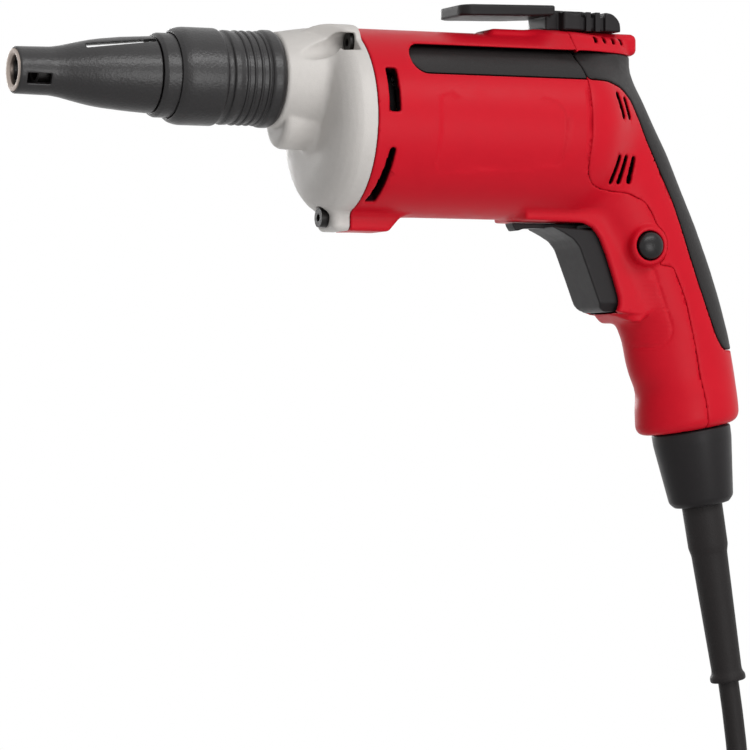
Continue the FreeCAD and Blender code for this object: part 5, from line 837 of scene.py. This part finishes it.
# The slot rises and narrows to the back from the place where its height is given.
LONG_FROM, LONG_Z, LONG_RISE, LONG_HALF, LONG_TAPER = -103.5, 9.1, 0.11, 0.7, 0.009
LONG_X, LONG_HALF_X, LONG_EASE = -90.1, 13.4, 0.3
f = Field(*NOSE_GRID)
nose = turned(f, NOSE, 0.0, NOSE_SOFT)
across = f.y * math.sin(WINDOW_TURN) - f.z * math.cos(WINDOW_TURN)
pane = np.maximum(np.abs(f.x - WINDOW_X) - WINDOW_HALF_X, np.abs(across) - WINDOW_HALF)
nose = minus(nose, np.maximum(pane, f.y), WINDOW_EASE)
past = f.x - LONG_FROM
line = np.abs(f.z - (LONG_Z + LONG_RISE * past)) - LONG_HALF + LONG_TAPER * past
nose = minus(nose, np.maximum(line, np.abs(f.x - LONG_X) - LONG_HALF_X), LONG_EASE)
place(skin("nosepiece_look", f, nose), GLASS_BLACK, "nose", "black_plastic", "nosepiece")

# Turned pieces of the nose as (x, radius) corners.
TIP = ((-129.4, 6.2), (-129.4, 7.8), (-127.0, 7.8), (-127.0, 5.4), (-128.7, 5.4))
TIP_SOFT = 0.25
SLEEVE = (
    (-76.2, 13.05), (-76.2, 14.7), (-74.8, 15.5), (-46.7, 15.5), (-46.7, 12.05), (-69.2, 12.05),
    (-69.2, 13.05),
)
COLLAR = (
    (-69.7, 15.6), (-69.7, 16.4), (-68.4, 17.3), (-66.4, 17.85), (-65.0, 18.0), (-53.0, 18.0), (-52.2, 17.7),
    (-51.8, 16.5), (-49.7, 16.5), (-49.2, 17.45), (-47.2, 17.4), (-45.6, 16.95), (-34.8, 16.95),
    (-34.3, 17.9), (-33.4, 18.1), (-31.0, 18.1), (-29.3, 17.2), (-29.3, 14.05), (-38.6, 14.05),
    (-38.6, 15.55),
)
COLLAR_STEPS = 160
place(lathe("locator_tip_look", TIP, *SPINDLE, soft=TIP_SOFT), STEEL, "nose", "bright_steel", "locator_tip")
place(lathe("depth_sleeve_look", SLEEVE, *SPINDLE), GLASS_BLACK, "sleeve", "bright_steel", "depth_sleeve")
place(lathe("collar_look", COLLAR, *SPINDLE, count=COLLAR_STEPS), GLASS_BLACK, "collar", "black_plastic",
      "adjusting_collar")

# Front rim of the fan, which turns in the plane of the front vents and closes the view through them.
FAN_RIM = ((1.2, 25.2), (1.2, 27.0), (8.3, 27.0), (8.3, 25.2))
place(lathe("fan_rim_look", FAN_RIM, (0, 0, MOTOR_Z), (1, 0, 0)), PLAIN_BLACK, "armature", "black_plastic")

# Lock button as a dome on a stem, cord nut and strain relief, as (station, radius) corners along their axes.
DOME_HIGH, DOME_R, DOME_STEPS = 2.4, 5.2, 12
DOME = [(DOME_HIGH * (1 - math.cos(a)), DOME_R * math.sin(a))
        for a in np.linspace(0.0, math.pi / 2, DOME_STEPS)]
BUTTON_STEM = [(5.0, 5.3), (5.0, 6.3), (6.0, 6.3), (6.0, 2.2), (11.0, 2.2), (11.0, 0.0)]
BUTTON_AXIS = ((118.0, -22.8, -59.6), (0, 1, 0))
BUTTON_STEPS, BUTTON_SOFT = 72, 0.1
NUT = (
    (0.3, 10.45), (0.3, 15.3), (5.0, 15.2), (27.6, 12.5), (29.8, 10.6), (29.8, 7.95), (25.8, 7.95),
    (25.8, 10.45),
)
RELIEF = (
    (25.5, 0.0), (25.5, 7.9), (46.0, 7.7), (49.0, 7.0), (93.8, 5.9), (95.2, 6.0), (96.8, 6.9), (98.4, 6.9),
    (98.9, 6.4), (98.9, 0.0),
)
NUT_SOFT, RELIEF_SOFT = 0.8, 0.5
CORD_AXIS = ((BASE[0], 0.0, BASE[1]), (DOWN[0], 0.0, DOWN[1]))
button = lathe("lock_button_look", DOME + BUTTON_STEM, *BUTTON_AXIS, count=BUTTON_STEPS, soft=BUTTON_SOFT)
place(button, BUTTON_BLACK, "button", "black_plastic", "lock_button")
place(lathe("cord_nut_look", NUT, *CORD_AXIS, soft=NUT_SOFT), PLAIN_BLACK, "nut", "black_plastic", "cord_nut")
place(lathe("strain_relief_look", RELIEF, *CORD_AXIS, soft=RELIEF_SOFT), CORD_BLACK, "tool", "cord_rubber",
      "strain_relief")

# Cord: it hangs from the strain relief into a tied coil of two layers, then a short tail to the plug.
TURNS, TURN_STEPS = 7, 32
LOOP_R, PITCH, LAYER, EASING = 68.0, 9.3, 4.65, 0.25
NUDGE = 1e-4
# Station where the cord leaves the strain relief, way from there to the coil, and straight lengths.
CORD_STATION, TO_COIL = 96.8, (3.4, -LAYER, -92.0)
LEAD, ENTRY_LEAD, COIL_LEAD, TAIL = 28.0, 25.2, 8.0, 42.0
CORD_R = 0.004
CORD_RING_STEPS, CORD_STEPS, CORD_ORDER = 6, 4, 3


def coil_spot(turns):
    """Point on the coil's middle line about its centre."""
    half = TURNS / 2
    depth = half - abs(turns - half)
    aside = LAYER if turns > half else -LAYER
    if depth > half - EASING:
        past = (turns - half) / EASING
        depth = half - EASING + EASING * (1 - past * past) / 2
        aside = math.sin(math.pi / 2 * past) * LAYER
    radius = LOOP_R - PITCH * depth
    return np.array([radius * math.cos(2 * math.pi * turns), aside, -radius * math.sin(2 * math.pi * turns)])


down = np.array(CORD_AXIS[1])
start = np.array(CORD_AXIS[0]) + down * CORD_STATION
lean_in = coil_spot(NUDGE) - coil_spot(0.0)
lean_in /= np.linalg.norm(lean_in)
lean_out = coil_spot(TURNS) - coil_spot(TURNS - NUDGE)
lean_out /= np.linalg.norm(lean_out)
entry = start + np.array(TO_COIL)
centre = entry + lean_in * COIL_LEAD - coil_spot(0.0)
route = [start, start + down * LEAD, entry - lean_in * ENTRY_LEAD, entry]
for i in range(TURNS * TURN_STEPS + 1):
    route.append(centre + coil_spot(i / TURN_STEPS))
leaving = centre + coil_spot(float(TURNS)) + lean_out * COIL_LEAD
route += [leaving, leaving + lean_out * TAIL]
line = bpy.data.curves.new("cord_look", "CURVE")
line.dimensions = "3D"
line.bevel_depth = CORD_R
line.bevel_resolution = CORD_RING_STEPS
line.resolution_u = CORD_STEPS
line.use_fill_caps = True
spline = line.splines.new("NURBS")
spline.points.add(len(route) - 1)
for point, spot in zip(spline.points, row(route)):
    point.co = (spot[0], spot[1], spot[2], 1.0)
spline.order_u = CORD_ORDER
spline.use_endpoint_u = True
cord = bpy.data.objects.new("cord_look", line)
place(cord, CORD_BLACK, "tool", "cord_rubber", "cord_lead", "cord_coil", "cord_tail")

# Camera at the photo's angle.
SENSOR, FOCAL, FAR_CLIP = 36.0, 205.9, 50.0
CAMERA_SPOT, CAMERA_AIM = (-0.7629, -1.4671, -0.0469), (-0.125, 0.0, -0.019)
lens = bpy.data.cameras.new("camera")
lens.sensor_width = SENSOR
lens.lens = FOCAL
lens.clip_end = FAR_CLIP
camera = bpy.data.objects.new("camera", lens)
bpy.context.scene.collection.objects.link(camera)
camera.location = CAMERA_SPOT
aim = Vector(CAMERA_AIM) - camera.location
camera.rotation_euler = aim.to_track_quat("-Z", "Y").to_euler()
bpy.context.scene.camera = camera
bpy.context.scene.view_settings.view_transform = "Standard"

# White surroundings for the camera and for reflections, and a soft glow from the seen side for the surfaces.
GLOW_WAY = (0.40, -0.91, 0.08)
GLOW_FROM, GLOW_TO = (-0.6, 0.9), (0.12, 0.77)
WHITE, WHITE_LEVEL = (1.0, 1.0, 1.0, 1.0), 1.0
world = bpy.data.worlds.new("studio")
bpy.context.scene.world = world
world.use_nodes = True
tree = world.node_tree
tree.nodes.clear()
way = add(tree, "ShaderNodeTexCoord").outputs["Generated"]
facing = add(tree, "ShaderNodeVectorMath", {0: way, 1: GLOW_WAY}, operation="DOT_PRODUCT")
glow = add(tree, "ShaderNodeMapRange", {
    "Value": facing.outputs["Value"], "From Min": GLOW_FROM[0], "From Max": GLOW_FROM[1],
    "To Min": GLOW_TO[0], "To Max": GLOW_TO[1]})
rays = add(tree, "ShaderNodeLightPath")
clear = add(tree, "ShaderNodeMath", {
    0: rays.outputs["Is Glossy Ray"], 1: rays.outputs["Is Transmission Ray"]}, operation="MAXIMUM")
seen = add(tree, "ShaderNodeMath", {0: rays.outputs["Is Camera Ray"], 1: clear.outputs[0]},
           operation="MAXIMUM")
level = add(tree, "ShaderNodeMix", {
    FACTOR: seen.outputs[0], FLOAT_A: glow.outputs["Result"], FLOAT_B: WHITE_LEVEL}, data_type="FLOAT")
sky = add(tree, "ShaderNodeBackground", {"Color": WHITE, "Strength": level.outputs[0]})
out = add(tree, "ShaderNodeOutputWorld")
tree.links.new(sky.outputs["Background"], out.inputs["Surface"])

# Soft rectangular lights aimed at the tool's middle: name, place, width, height and watts.
MIDDLE = Vector((-0.10, 0.0, 0.02))
LIGHTS = (
    ("key", (0.15, -1.12, 0.9), 1.2, 0.3, 8.0), ("top", (0.0, -0.1, 1.1), 0.9, 0.6, 0.5),
    ("front", (0.2, -1.4, -0.10), 0.7, 0.6, 4.5), ("back", (-0.1, 1.5, 0.3), 0.6, 0.5, 9.0),
)
for name, spot, wide, tall, watts in LIGHTS:
    lamp = bpy.data.lights.new(name, "AREA")
    lamp.shape = "RECTANGLE"
    lamp.size = wide
    lamp.size_y = tall
    lamp.energy = watts
    softbox = bpy.data.objects.new(name, lamp)
    bpy.context.scene.collection.objects.link(softbox)
    softbox.location = spot
    softbox.rotation_euler = (MIDDLE - Vector(spot)).to_track_quat("-Z", "Y").to_euler()

# Pale floor just under the lowest piece.
FLOOR_HALF, FLOOR_GAP, FLOOR_ROUGH = 1.2, 0.002, 0.9
low = first_box[0][2] - FLOOR_GAP
corners = [(x * FLOOR_HALF, y * FLOOR_HALF, low) for x, y in ((-1, -1), (1, -1), (1, 1), (-1, 1))]
sheet = bpy.data.meshes.new("floor")
sheet.from_pydata(corners, [], [(0, 1, 2, 3)])
paper = bpy.data.materials.new("paper_matt_white")
paper.use_nodes = True
paper.node_tree.nodes["Principled BSDF"].inputs["Base Color"].default_value = linear("F2F2F2")
paper.node_tree.nodes["Principled BSDF"].inputs["Roughness"].default_value = FLOOR_ROUGH
sheet.materials.append(paper)
floor = bpy.data.objects.new("floor", sheet)
bpy.context.scene.collection.objects.link(floor)
